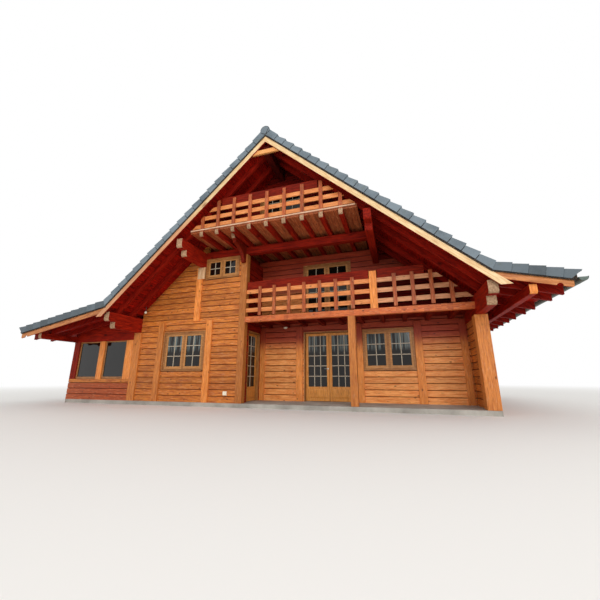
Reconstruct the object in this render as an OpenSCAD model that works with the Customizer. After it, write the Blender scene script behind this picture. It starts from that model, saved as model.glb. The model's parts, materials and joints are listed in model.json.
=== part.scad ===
// Alpine chalet: timber house under a kicked gable roof, with a recessed porch,
// a loggia, an attic balcony and a glazed annex under the long left eave.
// X runs along the front, Y from the front to the back, Z up. X = 0 is under the ridge.

/* [House] */
// Width over the corner posts
house_w = 11000; // [10800:50:11200]
// Depth from the front posts to the back posts
house_l = 9000; // [8600:100:10400]
// Thickness of the timber walls
wall_t = 160; // [140:5:180]
// How far the posts stand proud of the wall faces
proud = 50; // [30:5:60]
// Width of a wall post
post_w = 220; // [200:5:240]
// Side of a corner post
corner_w = 300; // [280:5:320]
// Depth of the porch and of the loggia above it
porch_l = 1400; // [1300:20:1600]
// Distance from the ridge line to the middle of the post at the porch's left side
porch_x = 1280; // [1200:10:1340]
// How far the porch's side wall stands behind the right face of the post before it
side_back = 100; // [80:5:110]
// Distance from the ridge line to the middle of the porch's free post
porch_post_x = 2150; // [2100:10:2200]
// Side of the porch's free post and width of the railing post
free_post_w = 200; // [180:5:220]
// Distance from the ridge line to the middle of the outer post in the left front wall
post_b_x = 4360; // [4320:10:4400]
// Distance from the ridge line to the middle of the inner post in the left front wall
post_c_x = 2460; // [2430:10:2500]
// Distance from the ridge line to the middle of the upper post in the left front wall
upper_post_x = 2980; // [2960:10:3000]
// Width of the post between the French doors and the window
pier_w = 265; // [240:5:280]
// Width of the posts in the porch's inner corners
inner_post_w = 180; // [160:5:200]

/* [Levels] */
// Thickness of the floor slab
slab_t = 120; // [100:10:200]
// First floor above the ground floor
deck_z = 2590; // [2560:10:2620]
// Thickness of the first floor and of the beam at the loggia's front
deck_t = 170; // [150:5:180]
// Attic floor above the ground floor
attic_z = 5200; // [5150:10:5250]
// Thickness of the attic floor
attic_t = 100; // [80:5:120]
// Height of the attic joists
joist_h = 150; // [130:5:170]
// Width of the joists
joist_w = 120; // [100:5:130]
// Height of the cross beam that carries the attic joists
beam_h = 240; // [220:5:260]
// Top of the lower wall posts above the ground floor
band_z = 2560; // [2500:10:2600]

/* [Roof] */
// Underside of the rafters at the ridge above the ground floor
apex_z = 7580; // [7500:10:7660]
// Fall of the main slopes for each unit of width
main_k = 0.92; // [0.9:0.01:0.94]
// Distance from the ridge line to the kick of the roof
kick_x = 5250; // [5200:10:5300]
// Fall of the left flare
left_k = 0.1875; // [0.17:0.0025:0.21]
// Fall of the right flare
right_k = 0.25; // [0.22:0.01:0.28]
// Distance from the ridge line to the left eave
left_eave = 9000; // [8900:10:9300]
// Distance from the ridge line to the right eave
right_eave = 6700; // [6600:10:6900]
// Overhang of the roof past the front and back posts
verge_l = 1400; // [1200:20:1500]
// Depth of a rafter
rafter_h = 170; // [150:5:180]
// Width of a rafter
rafter_w = 80; // [70:5:100]
// Thickness of the soffit boards
soffit_t = 25; // [20:1:30]
// Thickness of the insulated roof covering
cover_t = 210; // [190:5:230]
// Depth of the birdsmouth cuts in the rafters
notch = 50; // [40:5:60]
// Thickness of the bargeboards
barge_t = 40; // [35:1:50]
// Height of the bargeboards, square to the slope
barge_h = 190; // [180:1:195]
// How far the covering stands in front of the bargeboards
verge_lip = 30; // [20:5:40]
// Level of the bargeboards' cut ends above the ground floor
tail_z = 2600; // [2560:10:2640]
// Thickness of a bargeboard's tail where it laps over the flare board
lap_t = 15; // [12:1:20]
// Upper edge of the collar board below the rafters' line at the ridge
collar_high = 185; // [170:5:200]
// Lower edge of the collar board below the rafters' line at the ridge
collar_low = 325; // [310:5:340]
// How far the covering reaches past the rafters at the eaves
tile_over = 60; // [50:5:80]
// Thickness of the covering's lip over the gutter
lip_t = 45; // [40:1:50]
// How far the lip stands out past the covering
lip_l = 95; // [80:5:110]
// Radius of the ridge tiles
cap_r = 150; // [140:5:160]
// Radius of the gutter
gutter_r = 85; // [70:5:90]

/* [Purlins] */
// Distance from the ridge line to the middle of the mid purlins
mid_x = 2850; // [2800:10:2900]
// Width of the purlins
purlin_w = 200; // [180:5:210]
// Height of the upper purlin of a pair
purlin_h = 290; // [270:5:300]
// Height of the lower purlin of a pair
under_h = 200; // [180:5:210]
// How far the purlins stop short of the bargeboards
purlin_back = 60; // [40:5:100]
// How much shorter the lower purlins are than the upper ones
under_back = 250; // [200:10:400]
// Width of the eave purlins
eave_w = 140; // [120:5:160]
// Height of the eave purlins
eave_h = 200; // [180:5:210]
// Distance from the ridge line to the middle of the right eave purlin
right_purlin_x = 6050; // [6000:10:6150]
// Radius of the rounded purlin and joist ends
nose_r = 70; // [50:5:80]
// Width of the brace and of the short joist on it
brace_w = 120; // [100:5:140]
// Reach of the brace in front of its post
brace_l = 700; // [650:10:730]
// Height of the brace
brace_h = 550; // [500:10:600]

/* [Doors] */
// Width of the opening for the French doors
french_w = 1700; // [1650:10:1750]
// Distance from the ridge line to the middle of the French doors
french_x = 1155; // [1130:5:1180]
// Height of the door openings
door_h = 2240; // [2200:10:2270]
// Width of the opening for the side door
side_w = 880; // [850:5:900]
// Distance from the front posts' backs to the opening for the side door
side_door_back = 280; // [200:5:300]
// Width of the door frames
jamb_w = 45; // [40:1:55]
// Gap round a door leaf
door_gap = 12; // [10:1:14]
// Thickness of a door leaf
leaf_t = 60; // [54:1:66]
// Width of the stiles and top rail of a door leaf
stile_w = 80; // [75:1:90]
// Height of the solid foot of a door leaf
foot_h = 445; // [420:5:460]

/* [Windows] */
// Width of a frame bar
bar_w = 70; // [60:1:80]
// Thickness of a window frame
frame_t = 80; // [70:1:90]
// Thickness of the glass
glass_t = 24; // [20:1:28]
// Width of the ground floor windows
win_w = 1550; // [1500:10:1580]
// Height of the ground floor windows
win_h = 1250; // [1200:10:1280]
// Sill of the ground floor windows above the floor
sill_z = 950; // [900:10:1000]
// Width of the upper windows
top_win_w = 1230; // [1180:10:1260]
// Height of the upper windows
top_win_h = 710; // [690:5:720]
// Sill of the upper windows above the ground floor
top_sill_z = 3980; // [3960:5:3990]
// Distance from the ridge line to the middle of the upper front window
top_win_x = 2130; // [2110:5:2130]
// How far the window frames stand behind the walls' faces
frame_set = 6; // [5:1:20]
// Reach of the window sills in front of the walls
sill_l = 40; // [30:1:50]
// Thickness of the window sills
sill_t = 30; // [25:1:35]
// Number of windows in the right wall
side_wins = 2; // [1:1:3]
// Sill of the right wall's windows above the floor
side_sill_z = 800; // [780:10:900]
// Distance between the back wall's ground floor windows
back_step = 3000; // [2400:50:3400]
// Distance from the ridge line to the back wall's upper windows
back_top_x = 1400; // [1200:10:1700]
// Sill of the back wall's upper windows above the ground floor
back_top_sill = 3500; // [3300:10:3600]
// Width of the loggia's glazed opening
loggia_door_w = 1600; // [1500:10:1700]
// Height of the loggia's glazed opening
loggia_door_h = 2000; // [1950:10:2050]
// Width of the attic's glazed opening
attic_door_w = 1500; // [1400:10:1600]
// Height of the attic's glazed opening
attic_door_h = 1750; // [1600:10:1800]

/* [Railings] */
// Height of the loggia railing
rail_h = 980; // [950:10:1000]
// Height of a slat
slat_h = 130; // [120:5:135]
// Thickness of a slat
slat_t = 30; // [25:1:35]
// Width of a baluster
bal_w = 100; // [90:5:110]
// Thickness of a baluster
bal_t = 45; // [40:1:50]
// Distance from the ridge line to the middle of the railing post
rail_x = 2800; // [2780:5:2820]
// Balusters between the railing post and the post on its left
left_bals = 7; // [6:1:8]
// Balusters between the railing post and the right slope
right_bals = 4; // [3:1:5]
// Lowest slat of the loggia railing above the floor
slat_foot = 150; // [140:5:160]
// Distance between the slats of the loggia railing
slat_step = 300; // [290:5:310]
// Lowest slat of the attic railing above the floor
attic_slat_foot = 35; // [30:5:50]
// Distance between the slats of the attic railing
attic_slat_step = 265; // [255:5:275]
// Distance between balusters of the attic railing
attic_step = 540; // [530:1:550]
// Reach of the attic balcony in front of the posts
balcony_l = 1100; // [1000:10:1120]
// Height of the flower boxes
box_h = 265; // [250:5:280]
// Depth of the flower boxes
box_l = 200; // [180:5:220]
// Thickness of the flower boxes' boards
box_t = 20; // [16:1:24]
// Thickness of the loggia's floor boards
deck_board_t = 50; // [40:2:60]
// Distance between the loggia's floor joists
deck_step = 640; // [600:10:700]

/* [Annex] */
// Distance from the ridge line to the annex's outer face
annex_x = 8300; // [8250:10:8350]
// Width of the annex posts
annex_post = 180; // [160:5:200]
// Height of the annex's solid foot
annex_foot = 500; // [460:10:540]
// Height of the annex's sill beam
annex_sill = 200; // [180:5:220]
// Thickness of the annex walls
annex_t = 140; // [120:5:150]
// Number of bays along the annex's long side
annex_bays = 7; // [5:1:8]
// Width of the corner posts in the annex's front
annex_corner = 270; // [250:5:290]
// Width of the middle post in the annex's front
annex_mid_w = 230; // [210:5:250]
// Width of the post between the annex's front and the house
annex_last = 290; // [270:5:310]
// Middle of the passage from the house to the annex, from the front posts
passage_y = 5700; // [5400:50:6000]
// Width of the passage
passage_w = 1000; // [900:10:1100]
// Height of the passage
passage_h = 2000; // [1950:10:2050]

/* [Hidden] */

main_s = sqrt(1 + main_k * main_k);
// Rafter undersides, soffit boards and covering, square to the slope
soffit_d = rafter_h;
cover_d = rafter_h + soffit_t;
top_d = cover_d + cover_t;
// Levels above the ground that the slab stands on
floor_z = slab_t;
deck_top = floor_z + deck_z;
deck_low = deck_top - deck_t;
attic_top = floor_z + attic_z;
attic_low = attic_top - attic_t;
joist_low = attic_low - joist_h;
beam_low = joist_low - beam_h;
peak_z = floor_z + apex_z;
kick_z = peak_z - main_k * kick_x;
// Planes of the walls, from the front posts' faces and the ridge line
post_l = proud + wall_t;
half_w = house_w / 2;
wall_x = half_w - proud;
inner_x = wall_x - wall_t;
back_y = house_l - post_l;
porch_y = porch_l + proud;
room_y = porch_y + wall_t;
side_x = -porch_x + post_w / 2 - side_back;
// Purlin pairs: the plates lie flush with the walls' outer faces
plate_x = wall_x - purlin_w / 2;
plate_in = plate_x - purlin_w / 2;
verge_y = -verge_l;
verge_end = house_l + verge_l;

// Height of the roof's main plane and flare, d square to the slope above the rafters' undersides
function main_at(x, d) = peak_z - main_k * x + d * main_s;
function flare_at(x, d, k) = kick_z - k * (x - kick_x) + d * sqrt(1 + k * k);
function kick_at(d, k) = kick_x + d * (main_s - sqrt(1 + k * k)) / (main_k - k);
function roof_at(x, d, k) = max(main_at(x, d), flare_at(x, d, k));
// Clearance of pieces that would otherwise share a curved or slanting face
fit = 0.3;
// Height of a purlin's top, cut into the rafters by the birdsmouth
function seat_z(x, w, k) = roof_at(x + w / 2, 0, k) + notch;
// The left eave purlin stands on the annex's outer wall
left_purlin_x = annex_x - eave_w / 2;
plate_low_l = seat_z(plate_x, purlin_w, left_k) - purlin_h - under_h;
plate_low_r = seat_z(plate_x, purlin_w, right_k) - purlin_h - under_h;

// Draws in a frame whose Y = 0 lies in the front posts' faces
module from_front() translate([0, -house_l / 2, 0]) children();
// Carries a section in X and Z from y0 to y1
module along_y(y0, y1) translate([0, y1, 0]) rotate([90, 0, 0]) linear_extrude(y1 - y0) children();
// Carries a section in Y and Z from x0 to x1
module along_x(x0, x1) translate([x0, 0, 0]) rotate([90, 0, 90]) linear_extrude(x1 - x0) children();
module rect(x0, x1, z0, z1) translate([x0, z0]) square([x1 - x0, z1 - z0]);
module block(x0, x1, y0, y1, z0, z1) translate([x0, y0, z0]) cube([x1 - x0, y1 - y0, z1 - z0]);

// One side's roof layer between two offsets, from the ridge over the kick to the eave
module roof_band(d0, d1, k, eave) polygon([
    [0, main_at(0, d0)], [kick_at(d0, k), roof_at(kick_at(d0, k), d0, k)], [eave, flare_at(eave, d0, k)],
    [eave, flare_at(eave, d1, k)], [kick_at(d1, k), roof_at(kick_at(d1, k), d1, k)], [0, main_at(0, d1)]]);
module left_side() mirror([1, 0]) children();

// Space inside the house below the soffit boards
module under_roof() polygon([
    [-plate_in, floor_z], [plate_in, floor_z], [plate_in, roof_at(plate_in, soffit_d, right_k)],
    [0, main_at(0, soffit_d)], [-plate_in, roof_at(plate_in, soffit_d, left_k)]]);

// Sections of the purlins on one side
module purlin_section(x, w, h, k) rect(x - w / 2, x + w / 2, seat_z(x, w, k) - h, seat_z(x, w, k));
module under_section(x, k) {
    low = seat_z(x, purlin_w, k) - purlin_h;
    rect(x - purlin_w / 2, x + purlin_w / 2, low - under_h, low);
}
module ridge_section() rect(-purlin_w / 2, purlin_w / 2,
    seat_z(0, purlin_w, right_k) - purlin_h, seat_z(0, purlin_w, right_k));
module mid_sections() {
    purlin_section(mid_x, purlin_w, purlin_h, right_k);
    under_section(mid_x, right_k);
    left_side() purlin_section(mid_x, purlin_w, purlin_h, left_k);
    left_side() under_section(mid_x, left_k);
}

module wall_post_section(x, z0, z1) rect(x - post_w / 2, x + post_w / 2, z0, z1);
// Posts of the left front wall: middle, foot and head
post_b = -post_b_x;
post_c = -post_c_x;
post_d = -porch_x;
upper_post = -upper_post_x;
front_posts = [[post_b, floor_z, floor_z + band_z], [post_c, floor_z, floor_z + band_z],
    [upper_post, floor_z + band_z, seat_z(mid_x, purlin_w, left_k) - purlin_h - under_h]];
win_x = (post_b + post_c) / 2;
// Posts in the porch's back wall: middle and width
french_left = french_x - french_w / 2;
french_end = french_x + french_w / 2;
french_set = 30;
porch_win_x = french_end + pier_w + win_w / 2;
porch_posts = [[side_x + inner_post_w / 2, inner_post_w], [french_left - french_set - post_w / 2, post_w],
    [french_end + pier_w / 2, pier_w], [porch_win_x + win_w / 2 + post_w / 2, post_w],
    [plate_in - inner_post_w / 2, inner_post_w]];
// Middles of the right wall's windows and of the back wall's windows
side_win_ys = [for (i = [1 : side_wins]) corner_w + (house_l - 2 * corner_w) * i / (side_wins + 1)];
back_win_xs = [-back_step, 0, back_step];
module porch_post_sections()
    for (p = porch_posts) rect(p[0] - p[1] / 2, p[0] + p[1] / 2, floor_z, deck_low);

module floor_slab() from_front() color("silver") union() {
    block(-half_w, half_w, 0, house_l, 0, slab_t);
    block(-annex_x, -half_w, 0, house_l, 0, slab_t);
}

module first_floor() from_front() color("peru") difference() {
    block(-plate_in, plate_in, post_l, back_y, deck_low, deck_top);
    block(side_x - wall_t, half_w, 0, room_y, 0, attic_top);
}

module balcony_deck() from_front() color("firebrick") {
    block(post_d + post_w / 2, plate_in, 0, post_l, deck_low, deck_top);
    block(side_x, plate_in, post_l, porch_y, deck_top - deck_board_t, deck_top);
    for (x = [side_x + deck_step / 2 : deck_step : plate_in - joist_w])
        block(x, x + joist_w, post_l, porch_y, deck_low, deck_top - deck_board_t);
}

module attic_floor() from_front() color("sienna") {
    half = (peak_z - attic_top) / main_k;
    block(-half, half, -balcony_l - slat_t, back_y, attic_low, attic_top);
}

// Joists that carry the attic balcony's balusters on their noses, and a short one on the brace
attic_xs = [for (i = [-4 : 4]) i * attic_step];
joist_over = 15;
brace_over = 100;
module attic_joists() from_front() color("firebrick") {
    for (x = attic_xs) nosed(x, joist_w, joist_low, attic_low, -balcony_l - lattice_t - joist_over, back_y);
    nosed(post_d, brace_w, joist_low, attic_low, -brace_l - brace_over, post_l);
}

module front_wall_left() from_front() color("peru") along_y(proud, post_l) difference() {
    intersection() {
        under_roof();
        union() {
            rect(-plate_in, post_d - post_w / 2, floor_z, beam_low);
            rect(-plate_in, -mid_x + purlin_w / 2, floor_z, attic_top);
        }
    }
    rect(-half_w, corner_w - half_w, 0, plate_low_l);
    for (p = front_posts) wall_post_section(p[0], p[1], p[2]);
    mid_sections();
    rect(win_x - win_w / 2, win_x + win_w / 2, floor_z + sill_z, floor_z + sill_z + win_h);
    rect(-top_win_x - top_win_w / 2, -top_win_x + top_win_w / 2,
        floor_z + top_sill_z, floor_z + top_sill_z + top_win_h);
}

side_door_y = post_l + side_door_back;
module porch_side_wall() from_front() color("peru") {
    block(side_x - wall_t, side_x, post_l, side_door_y, floor_z, floor_z + door_h);
    block(side_x - wall_t, side_x, side_door_y + side_w, porch_y, floor_z, floor_z + door_h);
}

module loggia_side_wall() from_front() color("peru")
    block(side_x - wall_t, side_x, post_l, porch_y, floor_z + door_h, beam_low);

module porch_back_wall() from_front() color("peru") along_y(porch_y, room_y) difference() {
    rect(side_x - wall_t, inner_x, floor_z, floor_z + door_h);
    porch_post_sections();
    rect(french_left, french_end, floor_z, floor_z + door_h);
    rect(porch_win_x - win_w / 2, porch_win_x + win_w / 2, floor_z + sill_z, floor_z + sill_z + win_h);
}

module loggia_back_wall() from_front() color("firebrick") along_y(porch_y, room_y) difference() {
    intersection() {
        under_roof();
        rect(side_x - wall_t, plate_in, floor_z + door_h, joist_low);
    }
    rect(porch_win_x - win_w / 2, porch_win_x + win_w / 2, floor_z, floor_z + sill_z + win_h);
    porch_post_sections();
    mid_sections();
    rect(french_x - loggia_door_w / 2, french_x + loggia_door_w / 2, deck_top, deck_top + loggia_door_h);
}

module left_wall() from_front() color("peru") {
    y0 = passage_y - passage_w / 2;
    y1 = passage_y + passage_w / 2;
    block(-wall_x, -inner_x, corner_w, y0, floor_z, plate_low_l);
    block(-wall_x, -inner_x, y1, house_l - corner_w, floor_z, plate_low_l);
    block(-wall_x, -inner_x, y0, y1, floor_z + passage_h, plate_low_l);
}

module right_wall() from_front() color("peru") difference() {
    block(inner_x, wall_x, corner_w, house_l - corner_w, floor_z, plate_low_r);
    for (y = side_win_ys)
        block(inner_x - 1, wall_x + 1, y - win_w / 2, y + win_w / 2,
            floor_z + side_sill_z, floor_z + side_sill_z + win_h);
}

module back_wall() from_front() color("peru") along_y(back_y, house_l - proud) difference() {
    under_roof();
    for (s = [-1, 1]) rect(s * half_w - corner_w, s * half_w + corner_w, 0, plate_low_l);
    mid_sections();
    ridge_section();
    for (x = back_win_xs)
        rect(x - win_w / 2, x + win_w / 2, floor_z + sill_z, floor_z + sill_z + win_h);
    for (x = [-back_top_x, back_top_x])
        rect(x - top_win_w / 2, x + top_win_w / 2,
            floor_z + back_top_sill, floor_z + back_top_sill + top_win_h);
}

module gable_wall() from_front() color("sienna") along_y(proud, post_l) difference() {
    intersection() {
        under_roof();
        rect(-half_w, half_w, attic_top, peak_z + top_d);
    }
    ridge_section();
    rect(-attic_door_w / 2, attic_door_w / 2, attic_top, attic_top + attic_door_h);
}

module corner_posts() from_front() color("peru")
    for (s = [-1, 1], y = [0, house_l - corner_w])
        block(s > 0 ? half_w - corner_w : -half_w, s > 0 ? half_w : corner_w - half_w,
            y, y + corner_w, floor_z, s > 0 ? plate_low_r : plate_low_l);

module wall_posts() from_front() color("peru") {
    for (p = front_posts)
        block(p[0] - post_w / 2, p[0] + post_w / 2, 0, post_l, p[1], p[2]);
    block(post_d - post_w / 2, post_d + post_w / 2, 0, post_l, floor_z, beam_low);
    along_y(porch_l, room_y) porch_post_sections();
}

module porch_post() from_front() color("peru")
    block(porch_post_x - free_post_w / 2, porch_post_x + free_post_w / 2, 0, free_post_w, floor_z, deck_low);

module cross_beams() from_front() color("firebrick")
    block(purlin_w / 2 - mid_x, mid_x - purlin_w / 2, 0, post_l, beam_low, joist_low);

// A brace between a post's face and a joist's underside, hollowed by a long arc
module knee_braces() from_front() color("firebrick")
    along_x(post_d - brace_w / 2, post_d + brace_w / 2) difference() {
        rect(-brace_l, 0, joist_low - brace_h, joist_low);
        translate([-brace_l, joist_low - brace_h]) scale([brace_l - brace_w, brace_h - brace_w])
            circle(1, $fn = 64);
    }

// Lattice section seen from the front: slats between x0 and x1, or balusters from z0 to z1
slat_rows = 3;
module slats(x0, x1, z, step)
    for (i = [0 : slat_rows - 1]) rect(x0, x1, z + i * step, z + i * step + slat_h);
module balusters(xs, z0, z1) for (x = xs) rect(x - bal_w / 2, x + bal_w / 2, z0, z1);
// Space below the rafters, where the railings and boxes end against the slopes
module below_rafters() polygon([[-kick_x, 0], [kick_x, 0], [kick_x, main_at(kick_x, 0)],
    [0, main_at(0, 0)], [-kick_x, main_at(kick_x, 0)]]);
// The loggia railing's two bays, with their balusters evenly between the posts
rail_l = post_d + post_w / 2;
rail_low = rail_x - free_post_w / 2;
rail_high = rail_x + free_post_w / 2;
lattice_t = bal_t + slat_t;
function spaced(a, b, n) = [for (i = [1 : n]) a + (b - a) * i / (n + 1)];
bal_xs = concat(spaced(rail_l, rail_low, left_bals), spaced(rail_high, plate_in, right_bals));
// How far balusters stay above the loggia's floor and below its rail
bal_foot = 30;
bal_back = 20;
attic_bal_h = 880;
rail_post_t = 160;
rail_post_over = 110;
module balcony_railing() from_front() color("peru") {
    along_y(0, bal_t) intersection() {
        below_rafters();
        balusters(bal_xs, deck_top + bal_foot, deck_top + rail_h - bal_back);
    }
    along_y(bal_t, lattice_t) intersection() {
        below_rafters();
        union() {
            slats(rail_l, rail_low, deck_top + slat_foot, slat_step);
            slats(rail_high, plate_in, deck_top + slat_foot, slat_step);
        }
    }
    block(rail_low, rail_high, 0, rail_post_t, deck_top, deck_top + rail_h + rail_post_over);
}

module attic_railing() from_front() color("peru") {
    along_y(-balcony_l - lattice_t, -balcony_l - slat_t) intersection() {
        below_rafters();
        balusters(attic_xs, attic_low, attic_top + attic_bal_h);
    }
    along_y(-balcony_l - slat_t, -balcony_l) intersection() {
        below_rafters();
        slats(-half_w, half_w, attic_top + attic_slat_foot, attic_slat_step);
    }
}

// Open boxes on the top slats, against the balusters' backs
module trough(x0, x1, y, z) difference() {
    block(x0, x1, y, y + box_l, z, z + box_h);
    block(x0 + box_t, x1 - box_t, y + box_t, y + box_l - box_t, z + box_t, z + box_h + 1);
}
// Half the width below the rafters at a height
function half_at(z) = (main_at(0, 0) - z) / main_k;
module flower_boxes() from_front() color("maroon") {
    low = deck_top + slat_foot + (slat_rows - 1) * slat_step + slat_h;
    high = attic_top + attic_slat_foot + (slat_rows - 1) * attic_slat_step + slat_h;
    trough(rail_l + box_t, rail_low - box_t, bal_t, low);
    trough(rail_high + box_t, half_at(low + box_h) - box_t, bal_t, low);
    trough(box_t - half_at(high + box_h), half_at(high + box_h) - box_t, -balcony_l - slat_t, high);
}

// A timber along Y whose two ends are rounded below
module nosed(x, w, z0, z1, y0, y1) along_x(x - w / 2, x + w / 2) difference() {
    rect(y0, y1, z0, z1);
    for (s = [0, 1]) translate([s == 0 ? y0 : y1, z0]) mirror([s, 0]) difference() {
        translate([-1, -1]) square(nose_r + 1);
        translate([nose_r, nose_r]) circle(nose_r, $fn = 48);
    }
}
p0 = verge_y + barge_t + purlin_back;
module purlin_pair(x, k) {
    z = seat_z(x, purlin_w, k);
    nosed(x, purlin_w, z - purlin_h, z, p0, house_l - p0);
    nosed(x, purlin_w, z - purlin_h - under_h, z - purlin_h, p0 + under_back, house_l - p0 - under_back);
}
module wall_plates() from_front() color("firebrick") {
    purlin_pair(plate_x, right_k);
    mirror([1, 0, 0]) purlin_pair(plate_x, left_k);
}
module mid_purlins() from_front() color("firebrick") {
    purlin_pair(mid_x, right_k);
    mirror([1, 0, 0]) purlin_pair(mid_x, left_k);
}
module ridge_purlin() from_front() color("firebrick")
    nosed(0, purlin_w, seat_z(0, purlin_w, right_k) - purlin_h, seat_z(0, purlin_w, right_k), p0, house_l - p0);
module eave_purlins() from_front() color("firebrick") {
    nosed(right_purlin_x, eave_w, seat_z(right_purlin_x, eave_w, right_k) - eave_h,
        seat_z(right_purlin_x, eave_w, right_k), p0, house_l - p0);
    nosed(-left_purlin_x, eave_w, seat_z(left_purlin_x, eave_w, left_k) - eave_h,
        seat_z(left_purlin_x, eave_w, left_k), p0, house_l - p0);
}

// Middles of the rafters along the house: two in each overhang and over the loggia, the rest
// evenly between the loggia's back wall and the back wall
overhang_shares = [0.29, 0.68];
room_rafters = 12;
rafter_ys = concat(
    [for (share = overhang_shares) -verge_l * share],
    [for (i = [0, 1]) post_l + (porch_y - post_l) * (i + 0.5) / 2],
    [for (i = [0 : room_rafters - 1]) room_y + (back_y - room_y) * (i + 0.5) / room_rafters],
    [for (share = overhang_shares) house_l + verge_l * share]);
module rafter_section(k, eave, purlin_x) difference() {
    roof_band(0, soffit_d, k, eave);
    rect(-1, purlin_w / 2, 0, seat_z(0, purlin_w, k));
    purlin_section(mid_x, purlin_w, purlin_h, k);
    purlin_section(plate_x, purlin_w, purlin_h, k);
    purlin_section(purlin_x, eave_w, eave_h, k);
}
module rafters(k, eave, purlin_x)
    for (y = rafter_ys) along_y(y - rafter_w / 2, y + rafter_w / 2) rafter_section(k, eave, purlin_x);
rafter_back = 20;
module rafters_left() from_front() color("firebrick")
    mirror([1, 0, 0]) rafters(left_k, left_eave - rafter_back, left_purlin_x);
module rafters_right() from_front() color("firebrick")
    rafters(right_k, right_eave - rafter_back, right_purlin_x);

module soffit_boards() from_front() color("firebrick") along_y(verge_y + barge_t, verge_end - barge_t) {
    roof_band(soffit_d, cover_d, right_k, right_eave);
    left_side() roof_band(soffit_d, cover_d, left_k, left_eave);
}
module covering(k, eave) {
    roof_band(cover_d, top_d, k, eave);
    roof_band(top_d - lip_t, top_d, k, eave + lip_l);
}
module roof_left() from_front() color("slategray") along_y(verge_y - verge_lip, verge_end + verge_lip)
    left_side() covering(left_k, left_eave + tile_over);
module roof_right() from_front() color("slategray") along_y(verge_y - verge_lip, verge_end + verge_lip)
    covering(right_k, right_eave + tile_over);

// Ridge tiles: a round ridge let down over the two slopes
cap_drop = 130;
cap_over = 20;
cap_w = 2 * cap_r;
module ridge_cap() from_front() color("slategray")
    along_y(verge_y - verge_lip - cap_over, verge_end + verge_lip + cap_over) difference() {
        translate([0, main_at(0, top_d) - cap_drop]) circle(cap_r, $fn = 64);
        translate([0, fit]) polygon([[-cap_w, main_at(cap_w, top_d)], [0, main_at(0, top_d)],
            [cap_w, main_at(cap_w, top_d)], [cap_w, main_at(cap_w, 0)], [-cap_w, main_at(cap_w, 0)]]);
    }

// Bargeboards: the main boards run on past the kick to a level cut and lap over the flare boards,
// whose ends have a scoop and a rounded corner
scoop_r = 55;
scoop_x = 230;
end_r = 60;
tail_x = kick_x + 3 * barge_h;
module main_board() intersection() {
    polygon([[0, main_at(0, 0)], [tail_x, main_at(tail_x, 0)],
        [tail_x, main_at(tail_x, barge_h)], [0, main_at(0, barge_h)]]);
    rect(0, tail_x, floor_z + tail_z, main_at(0, barge_h));
}
module flare_board(k, eave) difference() {
    intersection() {
        roof_band(0, barge_h, k, eave);
        rect(kick_x, eave, 0, peak_z);
    }
    translate([eave - scoop_x, flare_at(eave - scoop_x, 0, k)]) circle(scoop_r, $fn = 48);
    translate([eave, flare_at(eave, 0, k)]) difference() {
        translate([-end_r, -end_r]) square([end_r + 1, 2 * end_r]);
        translate([-end_r, end_r]) circle(end_r, $fn = 48);
    }
}
module flare_boards() {
    flare_board(right_k, right_eave);
    left_side() flare_board(left_k, left_eave);
}
module barge_pair() union() {
    main_board();
    left_side() main_board();
}
// The collar board stands behind the main boards, against the ridge purlin's end
collar_lap = 30;
collar_end = (collar_low + collar_lap) / main_k;
collar_top = (collar_high + collar_lap) / main_k;
module collar() polygon([[-collar_end, peak_z - collar_low], [collar_end, peak_z - collar_low],
    [collar_top, peak_z - collar_high], [-collar_top, peak_z - collar_high]]);
// The boards of one gable, Y = 0 at their outer faces
module bargeboards() {
    difference() {
        along_y(0, barge_t) barge_pair();
        along_y(lap_t, barge_t + 1) flare_boards();
    }
    along_y(lap_t, barge_t) flare_boards();
    along_y(barge_t, barge_t + purlin_back) collar();
}
module bargeboards_front() from_front() color("burlywood") translate([0, verge_y, 0]) bargeboards();
module bargeboards_back() from_front() color("burlywood")
    translate([0, verge_end, 0]) mirror([0, 1, 0]) bargeboards();

gutter_t = 4;
gutter_up = 30;
module gutter() from_front() color("darkslategray")
    translate([right_eave + tile_over + gutter_r, 0, flare_at(right_eave, cover_d, right_k) + gutter_up])
        along_y(verge_y - verge_lip, verge_end + verge_lip) difference() {
            circle(gutter_r, $fn = 48);
            circle(gutter_r - gutter_t, $fn = 48);
            translate([-gutter_r - 1, 0]) square([2 * gutter_r + 2, gutter_r + 1]);
        }

// Annex: low timber wall, sill beam, posts and head beam, with glass between
annex_in = annex_x - annex_t;
glass_low = floor_z + annex_foot + annex_sill;
annex_head = seat_z(left_purlin_x, eave_w, left_k) - eave_h;
bay_l = (house_l - annex_post) / annex_bays;
annex_mid = -(annex_x - annex_corner + half_w + annex_last) / 2;
// Posts in the annex's front and back
annex_fronts = [[-annex_x, annex_corner - annex_x],
    [annex_mid - annex_mid_w / 2, annex_mid + annex_mid_w / 2],
    [-half_w - annex_last, -half_w]];
module annex_foot_walls() from_front() color("peru") difference() {
    block(-annex_x, -half_w, 0, house_l, floor_z, glass_low);
    block(-annex_in, 0, annex_t, house_l - annex_t, floor_z - 1, glass_low + 1);
}
module annex_frame() from_front() color("peru") union() {
    for (i = [0 : annex_bays])
        block(-annex_x, -annex_in, i * bay_l, i * bay_l + annex_post, glass_low, annex_head);
    for (y = [0, house_l - annex_t]) {
        for (p = annex_fronts) block(p[0], p[1], y, y + annex_t, glass_low, annex_head);
        along_y(y, y + annex_t) difference() {
            polygon([[-annex_x, annex_head], [-half_w, annex_head], [-half_w, roof_at(half_w, soffit_d, left_k)],
                [-annex_x, roof_at(annex_x, soffit_d, left_k)]]);
            left_side() purlin_section(left_purlin_x, eave_w, eave_h, left_k);
        }
    }
}
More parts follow.
